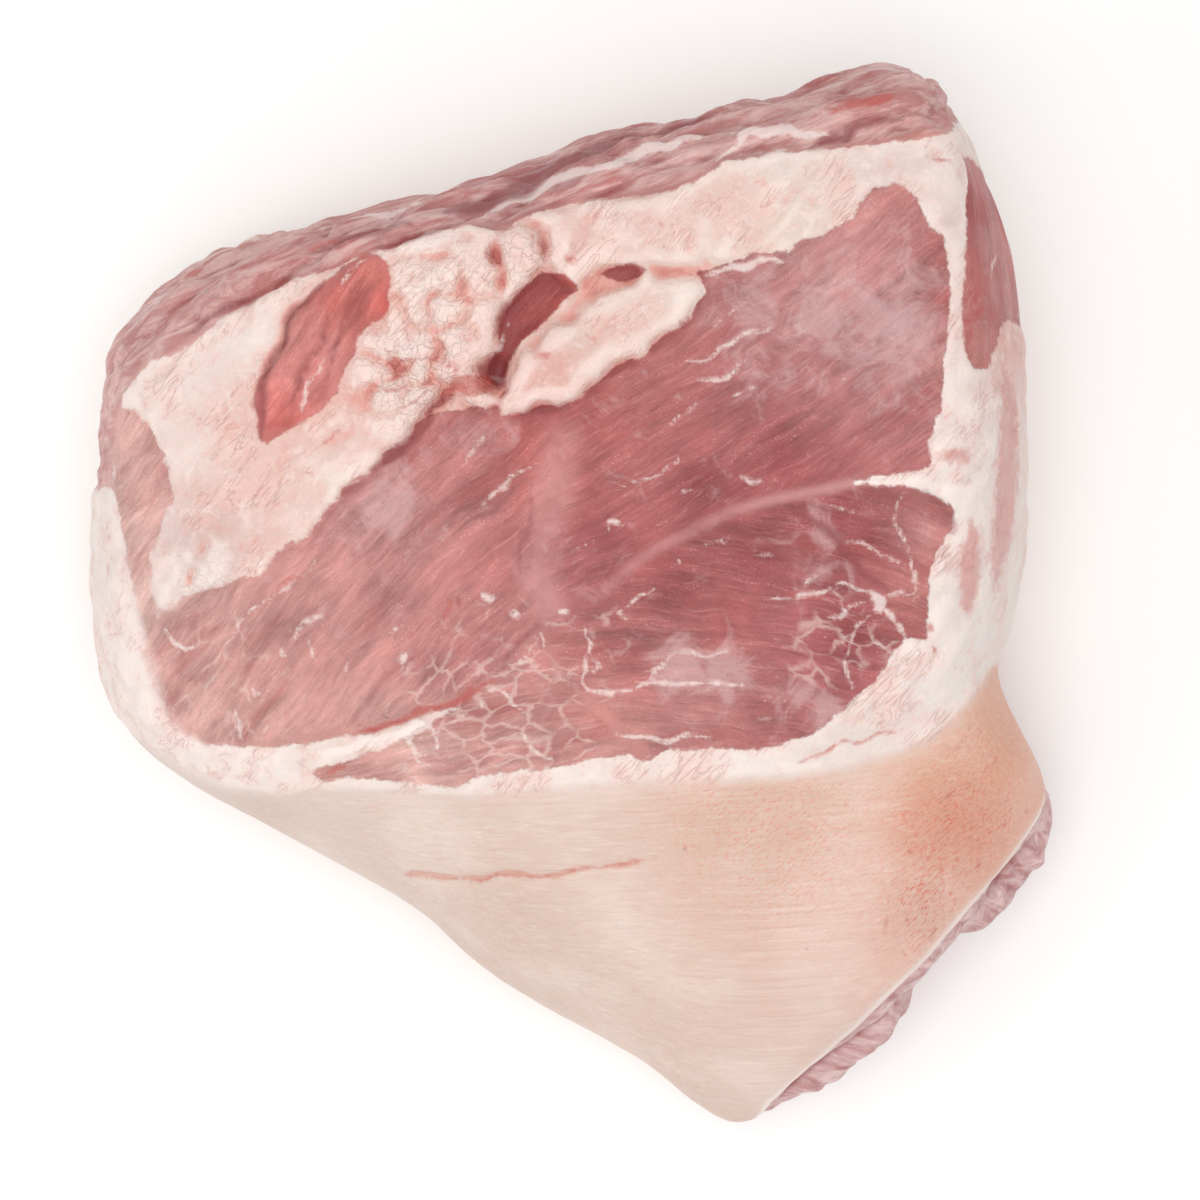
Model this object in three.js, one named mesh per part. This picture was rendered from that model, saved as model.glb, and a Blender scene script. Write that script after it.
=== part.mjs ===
// A piece of pork leg: the lower half of a ham, skinned and trimmed on the side that lies up, with the
// skin still wrapped round its underside and round the shank, which is sawn off square.
//
// It is one natural piece, so it is one closed solid. Its shape is a loft: closed outlines that each
// run once round the leg at their own height, joined by a smooth profile at every angle round the axis.
// +Z is up, X runs across the cut face and Y along the leg. The origin is the middle of its footprint,
// on the surface that the leg lies on. All sizes are in millimetres.
import * as THREE from "three";

// Driving dimensions.
const WIDTH = 238; // across the leg, X
const LENGTH = 264; // from the hip side to the lowest corner of the shank, Y
const HEIGHT = 118; // from the surface it lies on to the top of the cut face
const CROWN = 5; // rise of the cut face's middle above its rim
const CUT_BULGE = 5; // how far the shank's meat stands out past the edge of its skin
const UNDER_INSET = 4; // pull-in of the flank halfway below the girth
const FOOT_INSET = 21; // from the girth in to the edge of the flat that the leg's weight makes

// How finely the loft is cut into triangles.
const AROUND = 120; // steps round the leg
const STEPS = 5; // steps down the profile between one outline and the next

// The axis that the profiles turn about, as fractions of half the width and half the length.
const AXIS = new THREE.Vector2(0, 0.14);

// The plane that the cut face lies in: its height over the origin, and its rise from there to the
// right and to the far edge of the footprint, all as fractions of the height.
const FACE = { middle: 0.795, leanX: 0.14, leanY: 0.1 };

// Share of the way from the axis to the rim where the cut face's crown ends.
const CROWN_REACH = 0.55;

// The flank's shoulder: share of the way out from the rim to the girth, and share of that drop.
const SHOULDER = { out: 0.62, down: 0.36 };

// The shank's sawn end: the angle that it faces, from +X, and half the angle that it spans.
const CUT = { facing: -0.86, halfSpan: 0.42 };

// Outlines run anticlockwise seen from above. Each point is [x, y, z]: x and y as fractions of half the
// width and half the length from the origin, z as a fraction of the height.

// The rim of the cut face, where the flat top breaks over to the flanks. The face leans: its far right
// corner is the high one, and it drops to the left.
const FACE_RIM = [
  [0.753, 0.085, 0.88],
  [0.752, 0.277, 0.92],
  [0.75, 0.451, 0.94],
  [0.747, 0.626, 0.95],
  [0.729, 0.773, 0.96],
  [0.685, 0.849, 0.95],
  [0.599, 0.876, 0.93],
  [0.424, 0.835, 0.92],
  [0.25, 0.796, 0.91],
  [-0.103, 0.718, 0.86],
  [-0.38, 0.646, 0.81],
  [-0.582, 0.584, 0.76],
  [-0.745, 0.509, 0.72],
  [-0.854, 0.44, 0.68],
  [-0.9, 0.373, 0.66],
  [-0.884, 0.195, 0.68],
  [-0.873, 0.014, 0.67],
  [-0.85, -0.149, 0.64],
  [-0.785, -0.245, 0.63],
  [-0.548, -0.312, 0.68],
  [-0.144, -0.3, 0.75],
  [0.252, -0.262, 0.81],
  [0.449, -0.243, 0.82],
  [0.606, -0.185, 0.83],
  [0.704, -0.101, 0.84],
];

// The girth, where the leg is widest seen from above: down the right flank to the notch behind the
// shank, out round the upper edge of the sawn end, back under the skin's fold on the left, and along
// the torn hip side at the top.
const GIRTH = [
  [0.931, 0.108, 0.38],
  [0.911, -0.014, 0.35],
  [0.877, -0.114, 0.36],
  [0.911, -0.202, 0.37],
  [0.963, -0.282, 0.36],
  [1.0, -0.36, 0.31],
  [0.946, -0.427, 0.39],
  [0.848, -0.515, 0.47],
  [0.752, -0.614, 0.52],
  [0.659, -0.696, 0.53],
  [0.569, -0.779, 0.49],
  [0.471, -0.871, 0.4],
  [0.405, -0.949, 0.28],
  [0.375, -1.0, 0.19],
  [0.294, -0.971, 0.19],
  [0.161, -0.873, 0.2],
  [-0.073, -0.758, 0.22],
  [-0.2, -0.685, 0.23],
  [-0.328, -0.575, 0.24],
  [-0.475, -0.492, 0.25],
  [-0.643, -0.409, 0.27],
  [-0.789, -0.339, 0.29],
  [-0.918, -0.248, 0.31],
  [-0.977, -0.156, 0.32],
  [-1.0, 0.089, 0.37],
  [-0.985, 0.334, 0.37],
  [-0.967, 0.496, 0.34],
  [-0.872, 0.602, 0.31],
  [-0.737, 0.683, 0.29],
  [-0.578, 0.719, 0.29],
  [-0.367, 0.76, 0.31],
  [-0.113, 0.83, 0.34],
  [0.013, 0.879, 0.36],
  [0.263, 0.928, 0.39],
  [0.469, 0.969, 0.44],
  [0.64, 1.0, 0.51],
  [0.722, 0.979, 0.53],
  [0.783, 0.883, 0.51],
  [0.859, 0.757, 0.47],
  [0.906, 0.628, 0.46],
  [0.93, 0.38, 0.43],
];

// A closed smooth outline that is read by angle: at(angle) gives { radius, height } in millimetres.
class Outline {
  constructor(points) {
    const corners = points.map(
      ([x, y, z]) =>
        new THREE.Vector3(
          ((x - AXIS.x) * WIDTH) / 2,
          ((y - AXIS.y) * LENGTH) / 2,
          z * HEIGHT,
        ),
    );
    const samplesPerPoint = 16;
    this.samples = new THREE.CatmullRomCurve3(corners, true, "centripetal")
      .getPoints(points.length * samplesPerPoint)
      .slice(0, -1)
      .map((p) => ({
        angle: Math.atan2(p.y, p.x),
        radius: Math.hypot(p.x, p.y),
        height: p.z,
      }))
      .sort((a, b) => a.angle - b.angle);
  }

  at(angle) {
    const turned = Math.atan2(Math.sin(angle), Math.cos(angle));
    const count = this.samples.length;
    const next = this.samples.findIndex((s) => s.angle > turned);
    const after = this.samples[next < 0 ? 0 : next];
    const before = this.samples[((next < 0 ? 0 : next) + count - 1) % count];
    const fullTurn = 2 * Math.PI;
    const span = (after.angle - before.angle + fullTurn) % fullTurn;
    const share = ((turned - before.angle + fullTurn) % fullTurn) / span;
    return {
      radius: THREE.MathUtils.lerp(before.radius, after.radius, share),
      height: THREE.MathUtils.lerp(before.height, after.height, share),
    };
  }
}

// 1 at the middle of the sawn end, falling smoothly to 0 at its two sides and beyond.
function cutWindow(angle) {
  const off = Math.abs(angle - CUT.facing) / CUT.halfSpan;
  return off < 1 ? 0.5 + 0.5 * Math.cos(Math.PI * off) : 0;
}

// Height of the cut face's middle at (x, y), both in millimetres: a leaning plane.
function facePlane(x, y) {
  const rise = (FACE.leanX * x) / (WIDTH / 2) + (FACE.leanY * y) / (LENGTH / 2);
  return (FACE.middle + rise) * HEIGHT;
}

// The profile at one angle: a smooth curve in (radius, height) from the crown over the rim, shoulder
// and girth down to the edge of the flat foot.
function profileAt(angle, rim, girth) {
  const lerp = THREE.MathUtils.lerp;
  const centreX = (AXIS.x * WIDTH) / 2;
  const centreY = (AXIS.y * LENGTH) / 2;
  const reach = rim.radius * CROWN_REACH;
  const crownHeight = facePlane(
    centreX + reach * Math.cos(angle),
    centreY + reach * Math.sin(angle),
  );
  const under = girth.radius - UNDER_INSET + CUT_BULGE * cutWindow(angle);
  return new THREE.CatmullRomCurve3(
    [
      new THREE.Vector3(0, 0, facePlane(centreX, centreY) + CROWN),
      new THREE.Vector3(reach, 0, crownHeight + CROWN * (1 - CROWN_REACH ** 2)),
      new THREE.Vector3(rim.radius, 0, rim.height),
      new THREE.Vector3(
        lerp(rim.radius, girth.radius, SHOULDER.out),
        0,
        lerp(rim.height, girth.height, SHOULDER.down),
      ),
      new THREE.Vector3(girth.radius, 0, girth.height),
      new THREE.Vector3(under, 0, girth.height / 2),
      new THREE.Vector3(girth.radius - FOOT_INSET, 0, 0),
    ],
    false,
    "centripetal",
  );
}

// The loft's surface, made from a sphere's grid: its rows become the steps down the profile, its
// columns the steps round the leg, and its lowest pole the middle of the flat foot.
function legGeometry() {
  const rim = new Outline(FACE_RIM);
  const girth = new Outline(GIRTH);
  const outlinesBelowTop = 6;
  const lastProfileRow = outlinesBelowTop * STEPS;
  const rows = lastProfileRow + 1;
  const grid = new THREE.SphereGeometry(1, AROUND, rows);
  const position = grid.getAttribute("position");
  for (let column = 0; column <= AROUND; column++) {
    const angle = ((column % AROUND) / AROUND) * 2 * Math.PI - Math.PI;
    const profile = profileAt(angle, rim.at(angle), girth.at(angle));
    for (let row = 0; row <= rows; row++) {
      const p = profile.getPoint(Math.min(row / lastProfileRow, 1));
      const radius = row > lastProfileRow ? 0 : p.x;
      const height = row >= lastProfileRow ? 0 : Math.max(p.z, 0);
      position.setXYZ(
        row * (AROUND + 1) + column,
        radius * Math.cos(angle) + (AXIS.x * WIDTH) / 2,
        radius * Math.sin(angle) + (AXIS.y * LENGTH) / 2,
        height,
      );
    }
  }
  return grid;
}

// Brings the solid to its named overall sizes, centred on the origin and standing on z = 0.
function fitToSize(geometry) {
  geometry.computeBoundingBox();
  const { min, max } = geometry.boundingBox;
  const size = new THREE.Vector3().subVectors(max, min);
  geometry.translate(-(min.x + max.x) / 2, -(min.y + max.y) / 2, -min.z);
  geometry.scale(WIDTH / size.x, LENGTH / size.y, HEIGHT / size.z);
  geometry.deleteAttribute("uv");
  geometry.computeVertexNormals();
  return geometry;
}

const rawPork = new THREE.MeshStandardMaterial({
  color: 0xc98d88,
  roughness: 0.5,
  metalness: 0,
});

const leg = new THREE.Mesh(fitToSize(legGeometry()), rawPork);
leg.name = "pork_leg";

const part = new THREE.Group();
part.add(leg);

export default part;
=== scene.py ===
# %% [markdown]
# # A leg of pork
# The lower half of a raw ham, lying with its cut face up. It is one lump of three things: lean meat
# that shows its fibres, pads and borders of ivory fat, and the tan rind that wraps the underside and
# the shank. Nothing on it is a separate part, so it is made as one closed mesh, and the three are told
# apart by measured outlines that drive both the relief and the colour.

# %% Frame
import itertools
import math

import bmesh
import bpy
import numpy as np
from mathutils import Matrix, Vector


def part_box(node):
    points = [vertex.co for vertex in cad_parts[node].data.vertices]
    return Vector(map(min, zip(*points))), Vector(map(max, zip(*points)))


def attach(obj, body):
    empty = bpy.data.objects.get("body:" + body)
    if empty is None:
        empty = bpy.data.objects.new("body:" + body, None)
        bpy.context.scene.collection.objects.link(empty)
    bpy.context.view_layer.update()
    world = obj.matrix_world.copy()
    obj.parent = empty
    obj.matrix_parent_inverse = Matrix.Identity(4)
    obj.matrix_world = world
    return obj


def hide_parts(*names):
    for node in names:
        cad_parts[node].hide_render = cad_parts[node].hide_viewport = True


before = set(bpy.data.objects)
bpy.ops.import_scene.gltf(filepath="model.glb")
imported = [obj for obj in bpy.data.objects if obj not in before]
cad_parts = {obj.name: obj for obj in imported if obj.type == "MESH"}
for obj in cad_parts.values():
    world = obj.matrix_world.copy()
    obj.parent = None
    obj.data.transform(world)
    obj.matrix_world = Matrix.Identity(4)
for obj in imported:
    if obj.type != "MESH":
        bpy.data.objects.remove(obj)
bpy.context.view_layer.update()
LOW, HIGH = (np.array(corner) * 1000 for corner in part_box("pork_leg"))
HALF = (HIGH - LOW) / 2  # half the width, length and height, in millimetres
print("the joint is", np.round(HIGH - LOW, 1), "mm")

# %% [markdown]
# ## The lump
# The fixed frame's mesh has long, narrow triangles, fine for a solid but too coarse to carve. A copy of
# it is merged and smoothed with Catmull-Clark, and a voxel remesh then gives it small, even quads all
# over, which take relief in any direction.

# %% Even mesh
EVEN_MM = 0.9  # edge length of the carved mesh


def with_modifiers(piece):
    """Replaces the piece's mesh by what its modifiers make of it."""
    depsgraph = bpy.context.evaluated_depsgraph_get()
    made = bpy.data.meshes.new_from_object(piece.evaluated_get(depsgraph))
    piece.modifiers.clear()
    piece.data = made


def make_even(piece, edge_mm):
    """Covers the piece with quads of about one size."""
    remesh = piece.modifiers.new("even quads", "REMESH")
    remesh.mode = "VOXEL"
    remesh.voxel_size = edge_mm / 1000
    with_modifiers(piece)


def soften(piece, times, factor=0.5):
    """Smooths out the steps that a voxel grid leaves."""
    smooth = piece.modifiers.new("soften", "SMOOTH")
    smooth.factor = factor
    smooth.iterations = times
    with_modifiers(piece)


lump = bmesh.new()
lump.from_mesh(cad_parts["pork_leg"].data)
bmesh.ops.remove_doubles(lump, verts=lump.verts, dist=1e-6)
leg = bpy.data.objects.new("pork_joint", bpy.data.meshes.new("pork_joint"))
bpy.context.scene.collection.objects.link(leg)
lump.to_mesh(leg.data)
lump.free()
rounded = leg.modifiers.new("rounded", "SUBSURF")
rounded.levels = rounded.render_levels = 2
with_modifiers(leg)
make_even(leg, EVEN_MM)
soften(leg, 4)
print("even mesh:", len(leg.data.vertices), "vertices")


# %% [markdown]
# ## A map of the surface
# Outlines are easiest to draw on a flat map. From above, everything down to the girth can be seen, so
# the map is simply the plan view. The girth hides what is under it, so there the map goes on outwards:
# a point under the girth is put as far outside it as the surface runs down from it.

# %% Map
AXIS = np.array([0.0, 0.14]) * HALF[:2]


def points_of(mesh):
    """The mesh's vertices, in millimetres, one row each."""
    flat = np.empty(len(mesh.vertices) * 3, np.float32)
    mesh.vertices.foreach_get("co", flat)
    return flat.reshape(-1, 3).astype(float) * 1000


def normals_of(mesh):
    """The mesh's vertex normals, one row each."""
    flat = np.empty(len(mesh.vertices) * 3, np.float32)
    mesh.vertex_normals.foreach_get("vector", flat)
    return flat.reshape(-1, 3).astype(float)


def polar(points):
    """Angle and radius of each point about the joint's upright axis."""
    away = points[:, :2] - AXIS
    return np.arctan2(away[:, 1], away[:, 0]), np.hypot(away[:, 0], away[:, 1])


def measure_girth(points, steps=180):
    """Radius and height of the widest line round the lump, at even angles."""
    angle, radius = polar(points)
    bins = np.floor((angle + math.pi) / (2 * math.pi) * steps).astype(int) % steps
    widest = np.zeros(steps)
    height = np.zeros(steps)
    for i in range(steps):
        inside = np.flatnonzero(bins == i)
        farthest = radius[inside].max()
        near_edge = inside[radius[inside] > farthest - 0.4]
        widest[i] = farthest
        height[i] = points[near_edge, 2].mean()
    smooth = np.array([1, 2, 3, 2, 1]) / 9
    padded = np.concatenate([height[-2:], height, height[:2]])
    return widest, np.convolve(padded, smooth, "valid")


GIRTH_RADIUS, GIRTH_HEIGHT = measure_girth(points_of(leg.data))
print("girth height:", GIRTH_HEIGHT.min().round(1), "to", GIRTH_HEIGHT.max().round(1), "mm")


def girth_at(angle):
    """Radius and height of the girth at each angle."""
    steps = len(GIRTH_RADIUS)
    place = (np.asarray(angle) + math.pi) / (2 * math.pi) * steps - 0.5
    ring = np.arange(steps)
    return (
        np.interp(place, ring, GIRTH_RADIUS, period=steps),
        np.interp(place, ring, GIRTH_HEIGHT, period=steps),
    )


def to_map(points):
    """Each point's place on the flat map, in millimetres."""
    angle, radius = polar(points)
    widest, height = girth_at(angle)
    below = np.clip(height - points[:, 2], 0, None)
    reach = np.where(below > 0, np.maximum(widest, radius) + below + (widest - radius).clip(0), radius)
    return AXIS + reach[:, None] * np.stack([np.cos(angle), np.sin(angle)], 1)


# %% [markdown]
# ## Measuring from an outline
# Two measures are enough to paint with: how deep a point lies inside a closed outline, and how far it
# is from an open line. Outlines are in fractions of half the width and half the length, so they follow
# the frame, and both measures come out in millimetres.

# %% Outline measures


def to_mm(outline):
    """An outline's corners, on the map in millimetres."""
    return np.array(outline, float) * HALF[:2]


def distance_to_line(places, line, closed=False):
    """How far each place is from a line of straight pieces."""
    corners = to_mm(line)
    ends = np.roll(corners, -1, axis=0) if closed else corners[1:]
    nearest = np.full(len(places), np.inf)
    for start, end in zip(corners, ends):
        along = end - start
        share = ((places - start) @ along) / (along @ along)
        foot = start + np.clip(share, 0, 1)[:, None] * along
        nearest = np.minimum(nearest, np.hypot(*(places - foot).T))
    return nearest


def follow_line(places, line):
    """How far each place is from a line, how far along it the nearest point is, and its length."""
    corners = to_mm(line)
    nearest = np.full(len(places), np.inf)
    run = np.zeros(len(places))
    length = 0.0
    for start, end in zip(corners, corners[1:]):
        along = end - start
        size = np.hypot(*along)
        share = np.clip(((places - start) @ along) / size**2, 0, 1)
        away = np.hypot(*(places - start - share[:, None] * along).T)
        closer = away < nearest
        nearest = np.where(closer, away, nearest)
        run = np.where(closer, length + share * size, run)
        length += size
    return nearest, run, length


def depth_inside(places, outline):
    """Distance from a closed outline: above zero inside it, below zero outside."""
    corners = to_mm(outline)
    inside = np.zeros(len(places), bool)
    x, y = places.T
    for (x0, y0), (x1, y1) in zip(corners, np.roll(corners, -1, axis=0)):
        crosses = (y0 > y) != (y1 > y)
        with np.errstate(divide="ignore", invalid="ignore"):
            left_of = x < (x1 - x0) * (y - y0) / (y1 - y0) + x0
        inside ^= crosses & left_of
    distance = distance_to_line(places, outline, closed=True)
    return np.where(inside, distance, -distance)


def smooth_step(value, low, high):
    """0 below low, 1 above high, and an even S between."""
    share = np.clip((value - low) / (high - low), 0, 1)
    return share * share * (3 - 2 * share)


def near(place, spot, radius_mm):
    """1 at a spot on the map, falling to 0 at radius_mm."""
    away = np.hypot(*(place - to_mm([spot])[0]).T)
    return smooth_step(radius_mm - away, 0, radius_mm)


def patches(place, spots):
    """The strongest of some soft round patches, each given by its strength, middle and radius."""
    return np.maximum.reduce([strength * near(place, spot, mm) for strength, spot, mm in spots])


def blend_spots(place, spots, soft_mm=5):
    """A smooth value for each place from values at a few spots, the nearest counting most."""
    total = 0
    weight = 0
    for where, value in spots:
        away = np.hypot(*(place - to_mm([where])[0]).T)
        pull = (1 / (away + soft_mm) ** 3)[:, None]
        total = total + pull * np.atleast_1d(value)
        weight = weight + pull
    return total / weight


# %% [markdown]
# ## Noise for ragged edges
# A butcher's cut and torn fat have no clean outline. A lattice of random numbers, smoothly blended,
# shifts each outline in and out, and a second kind, of packed pebbles, makes crumbs of fat and bundles
# of meat. Both are the same on every run, because their numbers come from a seed.

# %% Lattice noise


def lattice(cell, seed):
    """A fixed random number between -1 and 1 for each whole-numbered cell."""
    x, y, z = cell.T
    key = (x * 73856093) ^ (y * 19349663) ^ (z * 83492791) ^ (seed * 2654435761)
    key = ((key ^ (key >> 13)) * 1274126177) & 0x7FFFFFFF
    return ((key ^ (key >> 16)) & 0xFFFF) / 32767.5 - 1


def noise(points, size_mm, seed=0):
    """Smooth noise between -1 and 1 whose lumps are about size_mm across."""
    scaled = points / size_mm
    cell = np.floor(scaled).astype(np.int64)
    part = scaled - cell
    part = part * part * (3 - 2 * part)
    total = np.zeros(len(points))
    for step in itertools.product((0, 1), repeat=3):
        share = np.prod(np.where(step, part, 1 - part), axis=1)
        total += share * lattice(cell + np.array(step), seed)
    return total


def rough_noise(points, size_mm, seed=0):
    """Three sizes of noise added up, the smaller ones weaker."""
    return (
        noise(points, size_mm, seed)
        + 0.5 * noise(points, size_mm / 2.1, seed + 1)
        + 0.25 * noise(points, size_mm / 4.3, seed + 2)
    )


def pebbles(points, size_mm, seed=0, steep=0.6):
    """Packed pebbles about size_mm across: 1 at their middles, 0 in the creases between them."""
    scaled = points / size_mm
    cell = np.floor(scaled).astype(np.int64)
    first = np.full(len(points), 9.0)
    second = np.full(len(points), 9.0)
    for step in itertools.product((-1, 0, 1), repeat=3):
        other = cell + np.array(step)
        jitter = np.stack([lattice(other, seed + axis) for axis in range(3)], 1)
        away = np.linalg.norm(scaled - other - 0.5 - 0.45 * jitter, axis=1)
        second = np.minimum(second, np.maximum(first, away))
        first = np.minimum(first, away)
    return np.clip((second - first) * 1.7, 0, 1) ** steep


def turned(points, degrees, stretch=1.0):
    """The points turned so that X runs along a direction, and squeezed along it."""
    turn = math.radians(degrees)
    along = points[:, 0] * math.cos(turn) + points[:, 1] * math.sin(turn)
    across = -points[:, 0] * math.sin(turn) + points[:, 1] * math.cos(turn)
    return np.stack([along / stretch, across, points[:, 2]], 1)


# %% [markdown]
# ## Outlines
# The cut face is lean, with a seam where two muscles meet and a triangle of a third one at the lower
# left. Pads of fat lie on it, one with a strip of red lean left on it. Ragged lean shows along the hip
# side and in a dark strip on the right. Rind begins below the line called RIND_EDGE, and the shank's
# sawn end begins at the skin's LIP.

# %% Outlines of lean
LEAN_FACE = [
    (-0.93, 0.36), (-0.92, 0.22), (-0.9, 0.13), (-0.88, 0), (-0.87, -0.08), (-0.85, -0.14),
    (-0.83, -0.19), (-0.8, -0.225), (-0.74, -0.25), (-0.62, -0.25), (-0.48, -0.235),
    (-0.4, -0.222), (-0.3, -0.195), (-0.29, -0.21), (-0.38, -0.255), (-0.45, -0.275),
    (-0.52, -0.295), (-0.5, -0.31), (-0.41, -0.3), (-0.34, -0.31), (-0.23, -0.325),
    (-0.18, -0.3), (-0.1, -0.29), (0, -0.28), (0.05, -0.262), (0.1, -0.258), (0.15, -0.27),
    (0.19, -0.25), (0.33, -0.25), (0.4, -0.245), (0.47, -0.22), (0.53, -0.18), (0.59, -0.13),
    (0.62, -0.085), (0.655, -0.055), (0.69, -0.055), (0.7, 0.05), (0.71, 0.1), (0.735, 0.13),
    (0.745, 0.17), (0.72, 0.195), (0.68, 0.205), (0.6, 0.215), (0.55, 0.22), (0.62, 0.235),
    (0.7, 0.25), (0.69, 0.29), (0.715, 0.35), (0.725, 0.45), (0.73, 0.55), (0.72, 0.64),
    (0.7, 0.66), (0.68, 0.68), (0.66, 0.72), (0.62, 0.74), (0.58, 0.73), (0.54, 0.68),
    (0.45, 0.645), (0.35, 0.62), (0.25, 0.59), (0.05, 0.49), (-0.14, 0.37), (-0.34, 0.33),
    (-0.64, 0.32), (-0.89, 0.36),
]
HIP_BAND = [
    (-1.5, 0.2), (-0.94, 0.22), (-0.92, 0.3), (-0.905, 0.385), (-0.86, 0.43), (-0.82, 0.45),
    (-0.76, 0.47), (-0.73, 0.495), (-0.7, 0.52), (-0.62, 0.555), (-0.5, 0.595), (-0.41, 0.625),
    (-0.33, 0.645), (-0.25, 0.67), (-0.18, 0.675), (-0.13, 0.665), (-0.1, 0.685), (-0.05, 0.7),
    (0.06, 0.715), (0.2, 0.73), (0.26, 0.755), (0.29, 0.78), (0.4, 0.795), (0.54, 0.8),
    (0.67, 0.815), (0.73, 0.83), (0.82, 0.95), (1.0, 1.3), (0.6, 1.5), (0, 1.4), (-0.9, 1.2),
    (-1.5, 0.8),
]
SIDE_STRIP = [
    (0.755, 0.79), (0.79, 0.8), (0.88, 0.77), (1.05, 0.73), (1.2, 0.62), (1.02, 0.5),
    (0.87, 0.52), (0.845, 0.5), (0.83, 0.46), (0.81, 0.425), (0.78, 0.42), (0.762, 0.44),
    (0.757, 0.5), (0.76, 0.57), (0.768, 0.65), (0.765, 0.73),
]
SIDE_STREAKS = [
    [(0.755, 0.1), (0.775, 0.155), (0.8, 0.14), (0.805, 0.06), (0.785, -0.02), (0.76, 0.0)],
    [(0.85, 0.44), (0.89, 0.38), (0.9, 0.25), (0.88, 0.12), (0.84, 0.02), (0.82, 0.08),
     (0.83, 0.2), (0.84, 0.32)],
    [(0.7, 0.27), (0.74, 0.28), (0.78, 0.275), (0.78, 0.255), (0.72, 0.25)],
]

# %% Outlines of fat
FAT_CAP = [
    (-0.9, 0.385), (-0.86, 0.43), (-0.82, 0.45), (-0.76, 0.47), (-0.73, 0.495), (-0.7, 0.52),
    (-0.66, 0.535), (-0.62, 0.555), (-0.57, 0.575), (-0.5, 0.595), (-0.41, 0.625),
    (-0.33, 0.645), (-0.28, 0.665), (-0.2, 0.675), (-0.15, 0.66), (-0.16, 0.63), (-0.15, 0.6),
    (-0.13, 0.56), (-0.13, 0.52), (-0.145, 0.49), (-0.155, 0.45), (-0.18, 0.43), (-0.17, 0.4),
    (-0.15, 0.385), (-0.145, 0.365), (-0.17, 0.352), (-0.22, 0.368), (-0.235, 0.39),
    (-0.255, 0.385), (-0.28, 0.36), (-0.3, 0.33), (-0.33, 0.3), (-0.36, 0.275), (-0.4, 0.245),
    (-0.45, 0.215), (-0.48, 0.18), (-0.52, 0.14), (-0.55, 0.12), (-0.59, 0.09), (-0.62, 0.06),
    (-0.68, 0.045), (-0.74, 0.035), (-0.79, 0.015), (-0.83, 0), (-0.845, 0.06), (-0.83, 0.13),
    (-0.8, 0.2), (-0.82, 0.28), (-0.84, 0.33), (-0.89, 0.355),
]
FAT_LUMP = [
    (-0.135, 0.66), (-0.1, 0.675), (-0.065, 0.66), (-0.05, 0.61), (-0.08, 0.575), (-0.11, 0.56),
    (-0.13, 0.53), (-0.135, 0.57), (-0.14, 0.61),
]
MIDDLE_FAT = [
    (-0.1, 0.685), (-0.05, 0.7), (0.06, 0.715), (0.2, 0.73), (0.26, 0.755), (0.29, 0.78),
    (0.4, 0.795), (0.54, 0.8), (0.67, 0.815), (0.75, 0.8), (0.77, 0.77), (0.755, 0.7),
    (0.73, 0.64), (0.71, 0.655), (0.69, 0.665), (0.68, 0.7), (0.65, 0.735), (0.6, 0.745),
    (0.565, 0.72), (0.54, 0.685), (0.5, 0.655), (0.45, 0.64), (0.42, 0.62), (0.35, 0.62),
    (0.3, 0.605), (0.2, 0.595), (0.1, 0.6), (0.05, 0.59), (0.01, 0.565), (-0.03, 0.59),
    (-0.05, 0.61), (-0.05, 0.66),
]
LOWER_FAT = [
    (-0.135, 0.345), (-0.14, 0.365), (-0.12, 0.4), (-0.1, 0.44), (-0.07, 0.47), (-0.04, 0.5),
    (0, 0.51), (0.02, 0.54), (0.05, 0.56), (0.12, 0.57), (0.15, 0.595), (0.18, 0.58),
    (0.24, 0.58), (0.26, 0.555), (0.24, 0.53), (0.23, 0.51), (0.2, 0.495), (0.16, 0.465),
    (0.14, 0.445), (0.1, 0.43), (0.07, 0.41), (0.05, 0.4), (0.02, 0.382), (0, 0.366),
    (-0.04, 0.357), (-0.08, 0.35),
]

# %% Red lean on the fat
RED_STRIP = [
    (-0.41, 0.63), (-0.38, 0.625), (-0.36, 0.61), (-0.355, 0.57), (-0.36, 0.52), (-0.4, 0.5),
    (-0.42, 0.49), (-0.43, 0.45), (-0.45, 0.42), (-0.46, 0.38), (-0.5, 0.35), (-0.55, 0.325),
    (-0.6, 0.295), (-0.615, 0.3), (-0.62, 0.33), (-0.63, 0.37), (-0.62, 0.41), (-0.595, 0.43),
    (-0.57, 0.47), (-0.565, 0.51), (-0.54, 0.54), (-0.5, 0.57), (-0.46, 0.6),
]
RED_NOTCH = [
    (-0.1, 0.56), (-0.06, 0.59), (-0.02, 0.585), (0, 0.575), (0.01, 0.56), (-0.02, 0.545),
    (-0.04, 0.52), (-0.07, 0.49), (-0.1, 0.47), (-0.12, 0.44), (-0.135, 0.41), (-0.15, 0.39),
    (-0.17, 0.405), (-0.165, 0.43), (-0.145, 0.46), (-0.145, 0.5), (-0.13, 0.53),
]
SMALL_RED = [(0.05, 0.59), (0.08, 0.6), (0.12, 0.602), (0.145, 0.588), (0.1, 0.572), (0.07, 0.577)]

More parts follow.
